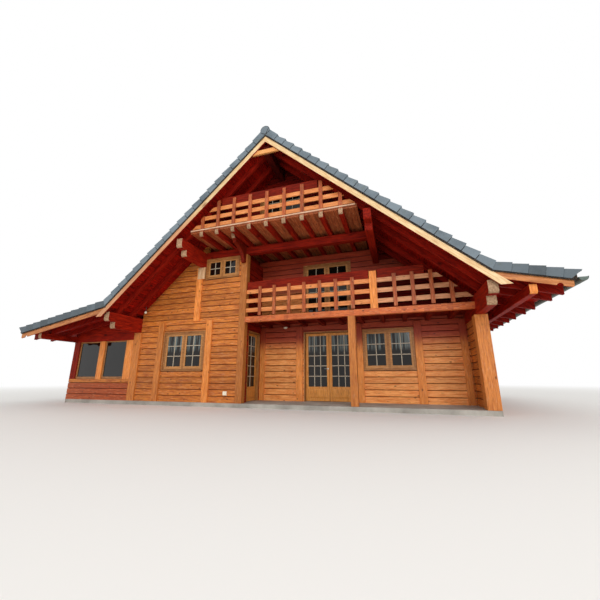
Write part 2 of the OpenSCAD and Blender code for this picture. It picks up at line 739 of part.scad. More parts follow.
module annex_glass() from_front() color("lightsteelblue") {
    set = (annex_t - glass_t) / 2;
    for (y = [set, house_l - set - glass_t], i = [0, 1])
        along_y(y, y + glass_t) rect(annex_fronts[i][1], annex_fronts[i + 1][0], glass_low, annex_head);
    for (i = [0 : annex_bays - 1])
        block(set - annex_x, set - annex_x + glass_t, i * bay_l + annex_post, (i + 1) * bay_l,
            glass_low, annex_head);
}

// The two lights of a window and the frame round them, in the X and Z plane
module lights_section(w, h)
    for (i = [0, 1]) translate([bar_w + i * (w - bar_w) / 2, bar_w]) square([(w - 3 * bar_w) / 2, h - 2 * bar_w]);
module frame_section(w, h) difference() {
    square([w, h]);
    lights_section(w, h);
}
// Windows in walls that face the front or the back: middle, sill, width, height, wall face, back or not
windows = concat([[win_x, floor_z + sill_z, win_w, win_h, proud, false],
    [-top_win_x, floor_z + top_sill_z, top_win_w, top_win_h, proud, false],
    [porch_win_x, floor_z + sill_z, win_w, win_h, porch_y, false],
    [french_x, deck_top, loggia_door_w, loggia_door_h, porch_y, false],
    [0, attic_top, attic_door_w, attic_door_h, proud, false]],
    [for (x = back_win_xs) [x, floor_z + sill_z, win_w, win_h, house_l - proud, true]],
    [for (x = [-back_top_x, back_top_x])
        [x, floor_z + back_top_sill, top_win_w, top_win_h, house_l - proud, true]]);
// Moves a window into its place: Y = 0 in the wall's face, the room towards +Y
module at_window(v) translate([v[0], v[4], v[1]]) mirror([0, v[5] ? 1 : 0, 0])
    translate([-v[2] / 2, 0, 0]) children();
module at_side_window(y) translate([wall_x, y, floor_z + side_sill_z]) rotate([0, 0, 90])
    translate([-win_w / 2, 0, 0]) children();
module framed(w, h) union() {
    along_y(frame_set, frame_set + frame_t) frame_section(w, h);
    block(0, w, -sill_l, frame_set, 0, sill_t);
}
glass_set = frame_set + (frame_t - glass_t) / 2;
module window_frames() from_front() color("burlywood") {
    for (v = windows) at_window(v) framed(v[2], v[3]);
    for (y = side_win_ys) at_side_window(y) framed(win_w, win_h);
}
module pane(w, h) along_y(glass_set, glass_set + glass_t) lights_section(w, h);
module window_glass() from_front() color("lightsteelblue") {
    for (v = windows) at_window(v) pane(v[2], v[3]);
    for (y = side_win_ys) at_side_window(y) pane(win_w, win_h);
}

// Door frames line the openings; the leaves stand at the rooms' side of the walls
module frame_ring(w) difference() {
    square([w, door_h]);
    translate([jamb_w, -1]) square([w - 2 * jamb_w, door_h - jamb_w + 1]);
}
// Hinges: barrels on the rooms' side, the frame's half below with the pin, the leaf's half above
hinge_r = 10;
pin_r = 5;
pin_clear = 0.3;
hinge_h = 50;
flag_t = 4;
flag_w = 38;
hinge_zs = [180, 960, 1800];
// Both halves stand on the plane Y = 0 with their axis at X = 0; the frame lies towards -X
module frame_half() {
    translate([-flag_w, 0, 0]) cube([flag_w, flag_t, hinge_h]);
    translate([0, hinge_r, 0]) cylinder(h = hinge_h, r = hinge_r, $fn = 32);
    translate([0, hinge_r, 0]) cylinder(h = 2 * hinge_h - 2, r = pin_r, $fn = 32);
}
module leaf_half() difference() {
    union() {
        translate([0, 0, hinge_h + pin_clear]) cube([flag_w, flag_t, hinge_h]);
        translate([0, hinge_r, hinge_h + pin_clear]) cylinder(h = hinge_h, r = hinge_r, $fn = 32);
    }
    translate([0, hinge_r, hinge_h - 1]) cylinder(h = 2 * hinge_h, r = pin_r + pin_clear, $fn = 32);
}
// Places of the hinge axes: each leaf's jamb side, in the middle of the gap
hinge_left_x = french_left + jamb_w + door_gap / 2;
hinge_right_x = french_end - jamb_w - door_gap / 2;
hinge_side_y = side_door_y + side_w - jamb_w - door_gap / 2;
module at_left_hinges() for (z = hinge_zs) translate([hinge_left_x, room_y, floor_z + z]) children();
module at_right_hinges()
    for (z = hinge_zs) translate([hinge_right_x, room_y, floor_z + z]) mirror([1, 0, 0]) children();
module at_side_hinges()
    for (z = hinge_zs) translate([side_x - wall_t, hinge_side_y, floor_z + z]) mirror([0, 1, 0])
        rotate([0, 0, 90]) children();
module door_frames() from_front() color("burlywood") {
    translate([french_left, 0, floor_z]) along_y(porch_y, room_y) frame_ring(french_w);
    translate([0, side_door_y, floor_z]) along_x(side_x - wall_t, side_x) frame_ring(side_w);
    at_left_hinges() frame_half();
    at_right_hinges() frame_half();
    at_side_hinges() frame_half();
}

leaf_w = (french_w - 2 * jamb_w - 3 * door_gap) / 2;
side_leaf_w = side_w - 2 * jamb_w - 2 * door_gap;
leaf_h = door_h - jamb_w - 2 * door_gap;
leaf_y = room_y - leaf_t;
leaf_glass = (leaf_t - glass_t) / 2;
french_left_x = french_left + jamb_w + door_gap;
module pane_section(w) translate([stile_w, foot_h]) square([w - 2 * stile_w, leaf_h - foot_h - stile_w]);
module leaf_section(w) difference() {
    square([w, leaf_h]);
    pane_section(w);
}
module french_door_left() from_front() color("burlywood") {
    translate([french_left_x, 0, floor_z + door_gap]) along_y(leaf_y, room_y) leaf_section(leaf_w);
    at_left_hinges() leaf_half();
}
module french_door_right() from_front() color("burlywood") {
    translate([french_left_x + leaf_w + door_gap, 0, floor_z + door_gap])
        along_y(leaf_y, room_y) leaf_section(leaf_w);
    at_right_hinges() leaf_half();
}
module french_glass_left() from_front() color("lightsteelblue")
    translate([french_left_x, 0, floor_z + door_gap])
        along_y(leaf_y + leaf_glass, leaf_y + leaf_glass + glass_t) pane_section(leaf_w);
module french_glass_right() from_front() color("lightsteelblue")
    translate([french_left_x + leaf_w + door_gap, 0, floor_z + door_gap])
        along_y(leaf_y + leaf_glass, leaf_y + leaf_glass + glass_t) pane_section(leaf_w);
module side_door() from_front() color("burlywood") {
    translate([0, side_door_y + jamb_w + door_gap, floor_z + door_gap])
        along_x(side_x - wall_t, side_x - wall_t + leaf_t) leaf_section(side_leaf_w);
    at_side_hinges() leaf_half();
}
module side_door_glass() from_front() color("lightsteelblue")
    translate([0, side_door_y + jamb_w + door_gap, floor_z + door_gap])
        along_x(side_x - wall_t + leaf_glass, side_x - wall_t + leaf_glass + glass_t) pane_section(side_leaf_w);
// Lever handle on a round rose: Z = 0 on the leaf's face, the lever towards -X
handle_z = 1020;
rose_d = 50;
rose_t = 8;
neck_d = 18;
neck_l = 50;
lever_d = 16;
lever_l = 115;
module lever() union() {
    cylinder(h = rose_t, d = rose_d, $fn = 48);
    cylinder(h = neck_l, d = neck_d, $fn = 32);
    translate([0, 0, neck_l - neck_d / 2]) rotate([0, -90, 0]) cylinder(h = lever_l, d = lever_d, $fn = 32);
}
// On the left leaf's meeting stile
module door_handle() from_front() color("silver")
    translate([french_left_x + leaf_w - stile_w / 2, leaf_y, floor_z + handle_z]) rotate([90, 0, 0]) lever();

floor_slab();
first_floor();
balcony_deck();
attic_floor();
attic_joists();
front_wall_left();
porch_side_wall();
loggia_side_wall();
porch_back_wall();
loggia_back_wall();
left_wall();
right_wall();
back_wall();
gable_wall();
corner_posts();
wall_posts();
porch_post();
cross_beams();
knee_braces();
balcony_railing();
attic_railing();
flower_boxes();
wall_plates();
mid_purlins();
ridge_purlin();
eave_purlins();
rafters_left();
rafters_right();
soffit_boards();
roof_left();
roof_right();
ridge_cap();
bargeboards_front();
bargeboards_back();
gutter();
annex_foot_walls();
annex_frame();
annex_glass();
window_frames();
window_glass();
door_frames();
french_door_left();
french_door_right();
side_door();
french_glass_left();
french_glass_right();
side_door_glass();
door_handle();
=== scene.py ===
import json
import math
from functools import partial

import bmesh
import bpy
import numpy as np
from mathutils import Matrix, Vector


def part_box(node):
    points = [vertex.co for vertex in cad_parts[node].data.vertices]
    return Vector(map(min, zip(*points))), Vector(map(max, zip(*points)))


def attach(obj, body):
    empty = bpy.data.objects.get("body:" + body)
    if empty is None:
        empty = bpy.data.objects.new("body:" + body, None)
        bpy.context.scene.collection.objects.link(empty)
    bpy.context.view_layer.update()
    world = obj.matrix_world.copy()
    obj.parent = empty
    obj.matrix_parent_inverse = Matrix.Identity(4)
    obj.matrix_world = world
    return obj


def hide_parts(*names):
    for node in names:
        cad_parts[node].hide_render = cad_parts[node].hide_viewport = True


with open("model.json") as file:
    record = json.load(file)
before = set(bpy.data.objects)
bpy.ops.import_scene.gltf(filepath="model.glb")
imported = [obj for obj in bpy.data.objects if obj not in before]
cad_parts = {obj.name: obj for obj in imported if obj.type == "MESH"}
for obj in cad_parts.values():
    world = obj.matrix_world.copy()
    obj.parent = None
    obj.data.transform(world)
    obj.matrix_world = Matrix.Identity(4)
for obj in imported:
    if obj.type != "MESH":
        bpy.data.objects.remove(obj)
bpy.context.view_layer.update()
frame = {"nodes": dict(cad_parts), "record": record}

print("frame loaded:", len(frame["nodes"]), "nodes")

# Levels and lines that the pieces share, in metres, X counted from the ridge line
house = {
    "frontY": -4.5,        # faces of the front posts
    "backY": 4.5,
    "peakZ": 7.70,         # underside of the rafters at the ridge
    "mainFall": 0.92,      # fall of the main slopes for each metre across
    "kickX": 5.25,
    "leftFall": 0.1875,
    "rightFall": 0.25,
    "leftEave": 9.0,
    "rightEave": 6.7,
    "tileOver": 0.06,      # how far the tiles reach past the rafters' ends
    "vergeY": 5.9,         # outer faces of the bargeboards, front and back
    "soffitD": 0.17,       # depth of the rafters, square to the slope
    "coverD": 0.195,
    "topD": 0.405,         # highest edges of the tiles, square to the slope
}
front, back = house["frontY"], house["backY"]
chance = np.random.default_rng(7)


# Looks: one function adds a node, and each finish is written out below it

def srgb(code):
    # sRGB hex to linear: c / 12.92 up to 0.04045, above it ((c + 0.055) / 1.055) to the power 2.4
    c = np.array([int(code[i:i + 2], 16) for i in (1, 3, 5)]) / 255
    c = np.where(c <= 0.04045, c / 12.92, ((c + 0.055) / 1.055) ** 2.4)
    return (*[float(v) for v in c], 1.0)


def addNode(tree, node, settings=None, links=None, out=0):
    # Adds a node of a kind, or takes one that is there, with its settings and links, and gives the output that
    # is used further on. A hex code for a socket is a colour; stops are a colour ramp's places and colours.
    if isinstance(node, str):
        node = tree.nodes.new("ShaderNode" + node)
    for key, value in (settings or {}).items():
        if key == "stops":
            for stop, (place, code) in zip(node.color_ramp.elements, value):
                stop.position, stop.color = place, srgb(code)
        elif isinstance(key, str) and hasattr(node, key):
            setattr(node, key, value)
        else:
            node.inputs[key].default_value = srgb(value) if isinstance(value, str) else value
    for key, source in (links or {}).items():
        tree.links.new(source, node.inputs[key])
    return node.outputs[out] if node.outputs else None


def newFinish(name):
    # An empty material, the function that adds nodes to it, and its shader
    finish = bpy.data.materials.new(name)
    finish.use_nodes = True
    tree = finish.node_tree
    tree.nodes.clear()
    shader = tree.nodes.new("ShaderNodeBsdfPrincipled")
    addNode(tree, "OutputMaterial", links={"Surface": shader.outputs[0]})
    return finish, partial(addNode, tree), shader


def stainedSpruce(name, look):
    # Planed spruce under a stain. Grain is noise drawn out along the board, growth rings are the sine of a
    # broad noise, knots are round spots, drying checks are the thin peaks of a finer noise, and its hollows are
    # pale flecks, partly where the stain has worn thin and partly painted sheen.
    finish, add, shader = newFinish(name)
    place = add("TexCoord", out="Object")
    shade = add("Attribute", {"attribute_name": "shade"}, out="Fac")
    # every board takes its grain from another place in the pattern
    shift = add("VectorMath", {"operation": "SCALE", 0: (3.1, 4.7, 2.3)}, {"Scale": shade})
    moved = add("VectorMath", {"operation": "ADD"}, {0: place, 1: shift})
    def laid(wideMm, stretch):
        # turned about Y until the board lies level, then divided by the pattern's width and length
        size = [wideMm / 1000] * 3
        size["XYZ".index(look["along"])] *= stretch
        return add("Mapping", {"vector_type": "TEXTURE", "Rotation": (0, math.radians(look["turn"]), 0),
                               "Scale": size}, {"Vector": moved})
    grain = laid(look["streakMm"], look["stretch"])
    streaks = add("TexNoise", {"Scale": 1.0, "Detail": 6.0, "Roughness": 0.62, "Distortion": 0.35},
                  {"Vector": grain})
    broad = add("TexNoise", {"Scale": 0.22, "Detail": 2.0, "Distortion": 0.6}, {"Vector": grain})
    turned = add("Math", {"operation": "MULTIPLY", 1: look["rings"]}, {0: broad})
    rings = add("Math", {"operation": "SINE"}, {0: turned})
    ringPart = add("MapRange", {"From Min": 0.2, "To Max": look["ringDepth"]}, {"Value": rings})
    ramp = add("ValToRGB", {"stops": ((0.37, look["deep"]), (0.61, look["pale"]))}, {"Fac": streaks})
    ringed = add("Mix", {"data_type": "RGBA", 7: look["deep"]}, {0: ringPart, 6: ramp}, 2)
    fine = add("TexNoise", {"Scale": 2.2, "Detail": 1.0}, {"Vector": grain})
    checks = add("MapRange", {"From Min": 0.64, "From Max": 0.7, "To Max": look["checks"]}, {"Value": fine})
    wornAndSheen = add("MapRange", {"From Min": 0.4, "From Max": 0.3, "To Max": look["flecks"]}, {"Value": fine})
    flecked = add("Mix", {"data_type": "RGBA", 7: look["fleck"]}, {0: wornAndSheen, 6: ringed}, 2)
    spots = add("TexVoronoi", {"Scale": 1.0}, {"Vector": laid(look["knotGapMm"], 1.7)})
    knots = add("MapRange", {"From Min": 0.06, "From Max": 0.15, "To Min": look["knotDepth"], "To Max": 0.0},
                {"Value": spots})
    marks = add("Math", {"operation": "MAXIMUM"}, {0: knots, 1: checks})
    marked = add("Mix", {"data_type": "RGBA", 7: look["knot"]}, {0: marks, 6: flecked}, 2)
    # boards differ a little, and each wall bleaches in patches a metre or so wide
    light = add("MapRange", {"To Min": 1 - look["spread"], "To Max": 1 + look["spread"]}, {"Value": shade})
    cloud = add("TexNoise", {"Scale": 0.9, "Detail": 3.0}, {"Vector": place})
    bleach = add("MapRange", {"From Min": 0.35, "From Max": 0.65, "To Min": 1 - look["patches"],
                              "To Max": 1 + look["patches"]}, {"Value": cloud})
    level = add("Math", {"operation": "MULTIPLY"}, {0: light, 1: bleach})
    boards = add("HueSaturation", links={"Value": level, "Color": marked})
    # the seams between courses darken: dirt gathers there, and the rest is painted shade in the grooves
    seam = add("Attribute", {"attribute_name": "seam"}, out="Fac")
    seamPart = add("MapRange", {"From Min": 0.05, "From Max": 0.7, "To Max": look["seamDepth"]}, {"Value": seam})
    surface = add("Mix", {"data_type": "RGBA", 7: look["seam"]}, {0: seamPart, 6: boards}, 2)
    # close under a ceiling the stain is darkened to a deep red, which is painted shade of the ceiling above; the
    # lower lengths of a bargeboard are darker and warmer than the ones above
    height = add("SeparateXYZ", links={0: place}, out="Z")
    for span, ease, low, high, tint in ((look["underCeiling"], "SMOOTHSTEP", 0.0, 0.95, "#A8555C"),
                                        (look["tannedBelow"], "LINEAR", 1.0, 0.0, "#EBC6BF")):
        if span:
            part = add("MapRange", {"interpolation_type": ease, "From Min": span[0], "From Max": span[1],
                                    "To Min": low, "To Max": high}, {"Value": height})
            surface = add("Mix", {"data_type": "RGBA", "blend_type": "MULTIPLY", 7: tint},
                          {0: part, 6: surface}, 2)
    gloss = add("MapRange", {"To Min": look["rough"] - 0.08, "To Max": look["rough"] + 0.1}, {"Value": streaks})
    relief = add("Bump", {"Strength": 0.35, "Distance": 0.0015}, {"Height": streaks})
    add(shader, {"Specular IOR Level": look["shine"], "Coat Weight": look["coat"], "Coat Roughness": 0.3},
        {"Base Color": surface, "Roughness": gloss, "Normal": relief})
    return finish


# Streaks are drawn 26 to 32 mm wide, several times the real grain, so that they show in the render, and knots
# 50 mm wide, larger where they are sparse. The stain sinks into open pores, so its shine lies under that of a
# closed film.
spruceLook = {"along": "X", "turn": 0.0, "streakMm": 32, "stretch": 11, "rings": 70, "ringDepth": 0.16,
              "knotGapMm": 185, "knot": "#5B2C10", "knotDepth": 0.8, "checks": 0.45, "fleck": "#E9B98C",
              "flecks": 0.3, "spread": 0.1, "patches": 0.06, "seam": "#4E1D0B", "seamDepth": 0.92,
              "underCeiling": None, "tannedBelow": None, "rough": 0.54, "shine": 0.35, "coat": 0.03}


def spruce(name, pale, deep, **changes):
    return stainedSpruce(name, {**spruceLook, "pale": pale, "deep": deep, **changes})


# Turns about Y, in degrees, that lay a level grain along a slope which falls to the right
turns = {"main": 42.61, "leftFlare": 10.62, "rightFlare": 14.04}

# honey stain on squared wall timbers: satin, streaky, darker in the seams
honeyLook = {"pale": "#D88232", "deep": "#A65420", "spread": 0.16, "patches": 0.08}
wallX = spruce("honeyStainedWallX", **honeyLook)
wallY = spruce("honeyStainedWallY", along="Y", **honeyLook)
# porch and loggia walls: the honey stain made paler and brighter, which is painted sunlight; close under their
# ceilings painted shade darkens them
paintedLightPorchX = spruce("honeyStainPaintedLightPorchWall", "#FFB065", "#DC7C36", spread=0.14, underCeiling=(1.6, 2.2))
paintedLightLoggiaX = spruce("honeyStainPaintedLightLoggiaWall", "#FFA85C", "#D27432", spread=0.14, underCeiling=(3.5, 3.95))
postZ = spruce("honeyStainedPosts", "#DE8A3E", "#BE6A2A", along="Z", spread=0.4)
# the posts at the back of the porch turn deep red close under the ceiling: painted shade
porchPostZ = spruce("honeyStainedPorchPostsShadedTop", "#E08C40", "#C26E2C", along="Z", spread=0.4,
                    underCeiling=(1.6, 2.2))
beamX = spruce("russetBalconyBeam", "#DC7638", "#B4522A", knot="#4A1A0A")
atticY = spruce("brownStainedAtticBoards", "#C0683A", "#924824", along="Y", seam="#3A1408", coat=0.0)
footX = spruce("redStainedFootWall", "#C05A28", "#98411A", seam="#481407")

# Mahogany stain under the roof: a deep, clear red with the grain showing through, darkened as painted shade of
# the roof over these parts
shadedRedLook = {"knot": "#3A0805", "knotGapMm": 420, "flecks": 0.0, "seam": "#300604", "rough": 0.6, "shine": 0.1,
           "coat": 0.0, "spread": 0.16}


def mahoganyInShade(name, pale="#A4240E", deep="#6C0E07", **changes):
    return spruce(name, pale, deep, **{**shadedRedLook, **changes})


redX = mahoganyInShade("mahoganyInShadeBeamsX")
redY = mahoganyInShade("mahoganyInShadeBeamsY", along="Y")
redZ = mahoganyInShade("mahoganyInShadePostsZ", "#942810", "#601008", along="Z")
gableX = mahoganyInShade("mahoganyInShadeGableWall", "#84180A", "#560A05")
rafterLeft = mahoganyInShade("mahoganyInShadeRaftersLeft", "#AA200E", "#700E07", turn=-turns["main"])
rafterRight = mahoganyInShade("mahoganyInShadeRaftersRight", "#AA200E", "#700E07", turn=turns["main"])
soffitY = mahoganyInShade("mahoganyInShadeSoffit", "#B01C0C", "#720C06", along="Y", spread=0.22)
# the ridge purlin's darker red: painted shade
shadedY = mahoganyInShade("mahoganyShadedPurlin", "#56100A", "#380806", along="Y")
ceilingY = mahoganyInShade("mahoganyInShadeCeilingBoards", "#86200E", "#560E07", along="Y")
boxX = mahoganyInShade("mahoganyInShadeFlowerBoxes", "#8A220E", "#5C1006")

# sawn end grain, weathered paler than the stained sides
endGrain = spruce("weatheredEndGrain", "#BE9B7A", "#8C6A4C", along="Z", stretch=1.5, streakMm=30,
                  rings=80, ringDepth=0.5, knotDepth=0.0, checks=0.5, rough=0.7, coat=0.0)
slatX = spruce("stainedSlats", "#E89656", "#CC7234")
paleSlatX = spruce("bleachedSlats", "#E4A274", "#C07C50")
balusterZ = spruce("stainedBalusters", "#BC5E2C", "#8A3A1A", along="Z", spread=0.16)
# bargeboards: clear coated pine on the main slopes, orange pine on the flares and in the collar, with knots
# far apart
pineLook = {"pale": "#F0D4A4", "deep": "#D4A870", "knot": "#8A5426", "spread": 0.04, "patches": 0.03,
            "ringDepth": 0.3, "knotGapMm": 640, "checks": 0.25, "coat": 0.12}
# the left board darker and warmer towards its lower end
pineLeft = spruce("clearCoatedPineLeft", turn=-turns["main"], tannedBelow=(5.3, 5.85), **pineLook)
pineRight = spruce("clearCoatedPineRight", turn=turns["main"], **pineLook)
flareLook = {"pale": "#CE8448", "deep": "#A65F2C", "knot": "#6A3010", "knotGapMm": 260, "coat": 0.12}
flareLeft = spruce("orangePineLeft", turn=-turns["leftFlare"], **flareLook)
flareRight = spruce("orangePineRight", turn=turns["rightFlare"], **flareLook)
collarX = spruce("orangePineCollar", **{**flareLook, "pale": "#F0AC66", "deep": "#D98E48"})
paleX = spruce("bareSpruceStrip", "#EBC3A4", "#D09F7E", knotDepth=0.0)
# the shutter's pale tone is painted sunlight on its boards
paleZ = spruce("sunlitSpruceShutter", "#EBC79C", "#CB9C6C", along="Z")
# oiled larch: frames ochre, sashes a shade paler, doors warmer
joineryLook = {"spread": 0.05, "streakMm": 26, "knotDepth": 0.0, "rough": 0.45, "coat": 0.1}
larchX = spruce("larchFramesX", "#B0763C", "#8C5828", **joineryLook)
larchZ = spruce("larchFramesZ", "#B0763C", "#8C5828", along="Z", **joineryLook)
sashX = spruce("larchSashes", "#CA8E4E", "#AE7238", **joineryLook)
leafZ = spruce("larchDoorLeaves", "#DE9542", "#BE752A", along="Z", **joineryLook)
floorY = spruce("spruceFloor", "#B98A5C", "#946842", along="Y")
underlay = spruce("darkRoofDeck", "#241E1A", "#151210", along="Y", knotDepth=0.0, coat=0.0, rough=0.8)


def lacquer(name, dark, light):
    # Glazing bars and small covers in satin lacquer: nearly even, with a faint brush texture
    finish, add, shader = newFinish(name)
    brush = add("TexNoise", {"Scale": 90.0, "Detail": 3.0}, {"Vector": add("TexCoord", out="Object")})
    ramp = add("ValToRGB", {"stops": ((0.0, dark), (1.0, light))}, {"Fac": brush})
    add(shader, {"Roughness": 0.4}, {"Base Color": ramp})
    return finish


def concreteTile():
    # Through-coloured concrete roof tile: matt, finely sanded, each tile its own grey, with faint moss stains
    finish, add, shader = newFinish("blueGreyConcreteTile")
    place = add("TexCoord", out="Object")
    # sand grains, drawn about 8 mm
    sand = add("TexNoise", {"Scale": 120.0, "Detail": 4.0, "Roughness": 0.7}, {"Vector": place})
    stain = add("TexNoise", {"Scale": 1.6, "Detail": 4.0}, {"Vector": place})
    both = add("Math", {"operation": "ADD"}, {0: sand, 1: stain})
    ramp = add("ValToRGB", {"stops": ((0.8, "#5A666E"), (1.0, "#76828A"))}, {"Fac": both})
    moss = add("TexNoise", {"Scale": 5.0, "Detail": 6.0, "Roughness": 0.7}, {"Vector": place})
    mossPart = add("MapRange", {"From Min": 0.56, "From Max": 0.7, "To Max": 0.45}, {"Value": moss})
    mossy = add("Mix", {"data_type": "RGBA", 7: "#67705C"}, {0: mossPart, 6: ramp}, 2)
    shade = add("Attribute", {"attribute_name": "shade"}, out="Fac")
    # shades below 0 darken the flares' verge plates: painted shade
    light = add("MapRange", {"From Min": -1.3, "To Min": 0.46, "To Max": 1.14}, {"Value": shade})
    tone = add("HueSaturation", links={"Value": light, "Color": mossy})
    relief = add("Bump", {"Strength": 0.4, "Distance": 0.002}, {"Height": sand})
    add(shader, {"Roughness": 0.8}, {"Base Color": tone, "Normal": relief})
    return finish


def sheetMetal():
    # Folded sheet with a grey-green coat: smooth, slightly uneven in colour and gloss
    finish, add, shader = newFinish("coatedGutterSheet")
    cloud = add("TexNoise", {"Scale": 6.0, "Detail": 5.0}, {"Vector": add("TexCoord", out="Object")})
    ramp = add("ValToRGB", {"stops": ((0.35, "#39453F"), (0.65, "#5B6A63"))}, {"Fac": cloud})
    gloss = add("MapRange", {"To Min": 0.32, "To Max": 0.5}, {"Value": cloud})
    add(shader, {"Metallic": 0.3}, {"Base Color": ramp, "Roughness": gloss})
    return finish


def castConcrete():
    # Cast concrete, float finished: pale grey with soft clouds and fine pores
    finish, add, shader = newFinish("floatedConcrete")
    place = add("TexCoord", out="Object")
    cloud = add("TexNoise", {"Scale": 1.3, "Detail": 8.0, "Roughness": 0.65}, {"Vector": place})
    ramp = add("ValToRGB", {"stops": ((0.35, "#928D84"), (0.65, "#BDB8AE"))}, {"Fac": cloud})
    pores = add("TexNoise", {"Scale": 140.0, "Detail": 3.0}, {"Vector": place})
    relief = add("Bump", {"Strength": 0.3, "Distance": 0.002}, {"Height": pores})
    add(shader, {"Roughness": 0.85}, {"Base Color": ramp, "Normal": relief})
    return finish


def doubleGlazing(name, clear, curtain, shine):
    # Float glass in front of a dark room: nearly black, painted shade of the room behind, with sharp and slightly
    # wavy reflections, weaker in the deep porch light. On the ground floor the pale folds of a net curtain show
    # behind the upper panes.
    finish, add, shader = newFinish(name)
    place = add("TexCoord", out="Object")
    wave = add("TexNoise", {"Scale": 1.1, "Detail": 1.0}, {"Vector": place})
    ramp = add("ValToRGB", {"stops": ((0.35, "#120D09"), (0.65, "#221B16"))}, {"Fac": wave})
    height = add("SeparateXYZ", links={0: place}, out="Z")
    above = add("MapRange", {"From Min": 1.66, "From Max": 1.8, "To Max": curtain}, {"Value": height})
    below = add("Math", {"operation": "LESS_THAN", 1: 2.5}, {0: height})
    folding = add("Mapping", {"Scale": (16.0, 16.0, 0.6)}, {"Vector": place})
    folds = add("TexNoise", {"Scale": 1.0, "Detail": 2.0}, {"Vector": folding})
    fold = add("MapRange", {"From Min": 0.42, "From Max": 0.62}, {"Value": folds})
    hung = add("Math", {"operation": "MULTIPLY"}, {0: above, 1: below})
    drape = add("Math", {"operation": "MULTIPLY"}, {0: hung, 1: fold})
    veiled = add("Mix", {"data_type": "RGBA", 7: "#8E9C9A"}, {0: drape, 6: ramp}, 2)
    relief = add("Bump", {"Strength": 0.05, "Distance": 0.01}, {"Height": wave})
    add(shader, {"Roughness": 0.03, "IOR": 1.52, "Specular IOR Level": shine, "Transmission Weight": clear},
        {"Base Color": veiled, "Normal": relief})
    return finish


def brushedSteel():
    # Stainless steel, brushed along the lever
    finish, add, shader = newFinish("brushedStainless")
    long = add("Mapping", {"Scale": (40.0, 900.0, 900.0)}, {"Vector": add("TexCoord", out="Object")})
    brush = add("TexNoise", {"Scale": 1.0, "Detail": 3.0}, {"Vector": long})
    gloss = add("MapRange", {"To Min": 0.22, "To Max": 0.38}, {"Value": brush})
    add(shader, {"Base Color": "#C4C2BC", "Metallic": 1.0}, {"Roughness": gloss})
    return finish


barTan = lacquer("tanLacqueredBars", "#AF9F86", "#CBBDA6")
opal = lacquer("opalCovers", "#EFE6C8", "#FBF6E6")
tileGrey = concreteTile()
gutterSheet = sheetMetal()
concrete = castConcrete()
glazing = doubleGlazing("tintedFloatGlass", 0.2, 0.7, 0.28)
clearPanes = doubleGlazing("clearFloatGlass", 0.75, 0.0, 0.5)
steel = brushedSteel()
print("finishes written")


# Shapes: bars and slabs carried between points, and dressed copies of CAD nodes

def newObject(name, data):
    made = bpy.data.objects.new(name, data)
    bpy.context.scene.collection.objects.link(made)
    return made


def placed(name, mesh, finishes, body, replaces=()):
    # Shows a mesh at the origin with its finishes, riding on a body, and in the place of CAD nodes
    for finish in finishes:
        mesh.materials.append(finish)
    piece = newObject(name, mesh)
    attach(piece, body)
    if replaces:
        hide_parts(*replaces)
    return piece


def newPiece(name, groups, finishes, body="house", replaces=(), smooth=False):
    # One mesh from (points, faces, shades) groups of closed shells
    verts, faces, shades, start = [], [], [], 0
    for points, loops, shade in groups:
        verts.append(points.reshape(-1, 3))
        faces += [[i + start for i in loop] for loop in loops]
        shades.append(shade)
        start += len(verts[-1])
    mesh = bpy.data.meshes.new(name)
    mesh.from_pydata(np.vstack(verts).tolist(), [], faces)
    mesh.attributes.new("shade", "FLOAT", "FACE").data.foreach_set("value", np.concatenate(shades))
    work = bmesh.new()
    work.from_mesh(mesh)
    bmesh.ops.recalc_face_normals(work, faces=work.faces)
    work.to_mesh(mesh)
    work.free()
    if smooth:
        mesh.shade_smooth()
        mesh.set_sharp_from_angle(angle=math.radians(35))
    placed(name, mesh, finishes, body, replaces)


def unit(v):
    return v / np.linalg.norm(v, axis=-1, keepdims=True)


def bars(ends, w, h, up, cut):
    # Straight bars, each between two points: an eight-sided ring, w wide and h high along up, its corners cut
    # off by cut, carried from end to end and closed there
    ends = np.asarray(ends, float).reshape(-1, 2, 3)
    n = len(ends)
    along = unit(ends[:, 1] - ends[:, 0])
    side = unit(np.cross(along, np.broadcast_to(np.asarray(up, float), (n, 3))))
    up = np.cross(side, along)
    w, h = (np.broadcast_to(np.asarray(v, float), (n,))[:, None] / 2 for v in (w, h))
    s = np.hstack([w, w, w - cut, cut - w, -w, -w, cut - w, w - cut])
    t = np.hstack([cut - h, h - cut, h, h, h - cut, cut - h, -h, -h])
    ring = s[:, :, None] * side[:, None] + t[:, :, None] * up[:, None]
    return lofts(ends[:, :, None] + ring[:, None])


def lofts(rings, shade=None):
    # Closed rings carried along stations: points[piece, station, place on the ring], quads between
    # neighbouring stations, and one face over the ring at each end
    rings = np.asarray(rings, float)
    n, m, k, _ = rings.shape
    i = np.arange(k)
    j = (i + 1) % k
    walls = np.concatenate([np.stack([i + q * k, j + q * k, j + (q + 1) * k, i + (q + 1) * k], 1)
                            for q in range(m - 1)])
    starts = np.arange(n) * m * k
    loops = (walls[None] + starts[:, None, None]).reshape(-1, 4).tolist()
    loops += (i[::-1][None] + starts[:, None]).tolist()
    loops += (i[None] + (m - 1) * k + starts[:, None]).tolist()
    shade = chance.random(n) if shade is None else shade
    return rings, loops, np.concatenate([np.repeat(shade, len(walls)), shade, shade])


def arc(x, z, radius, turn, y):
    # Points on a circle standing across the house: x + radius sin, z + radius cos of the turn from straight up
    return np.stack([x + radius * np.sin(turn), np.full_like(turn, y), z + radius * np.cos(turn)], 1)


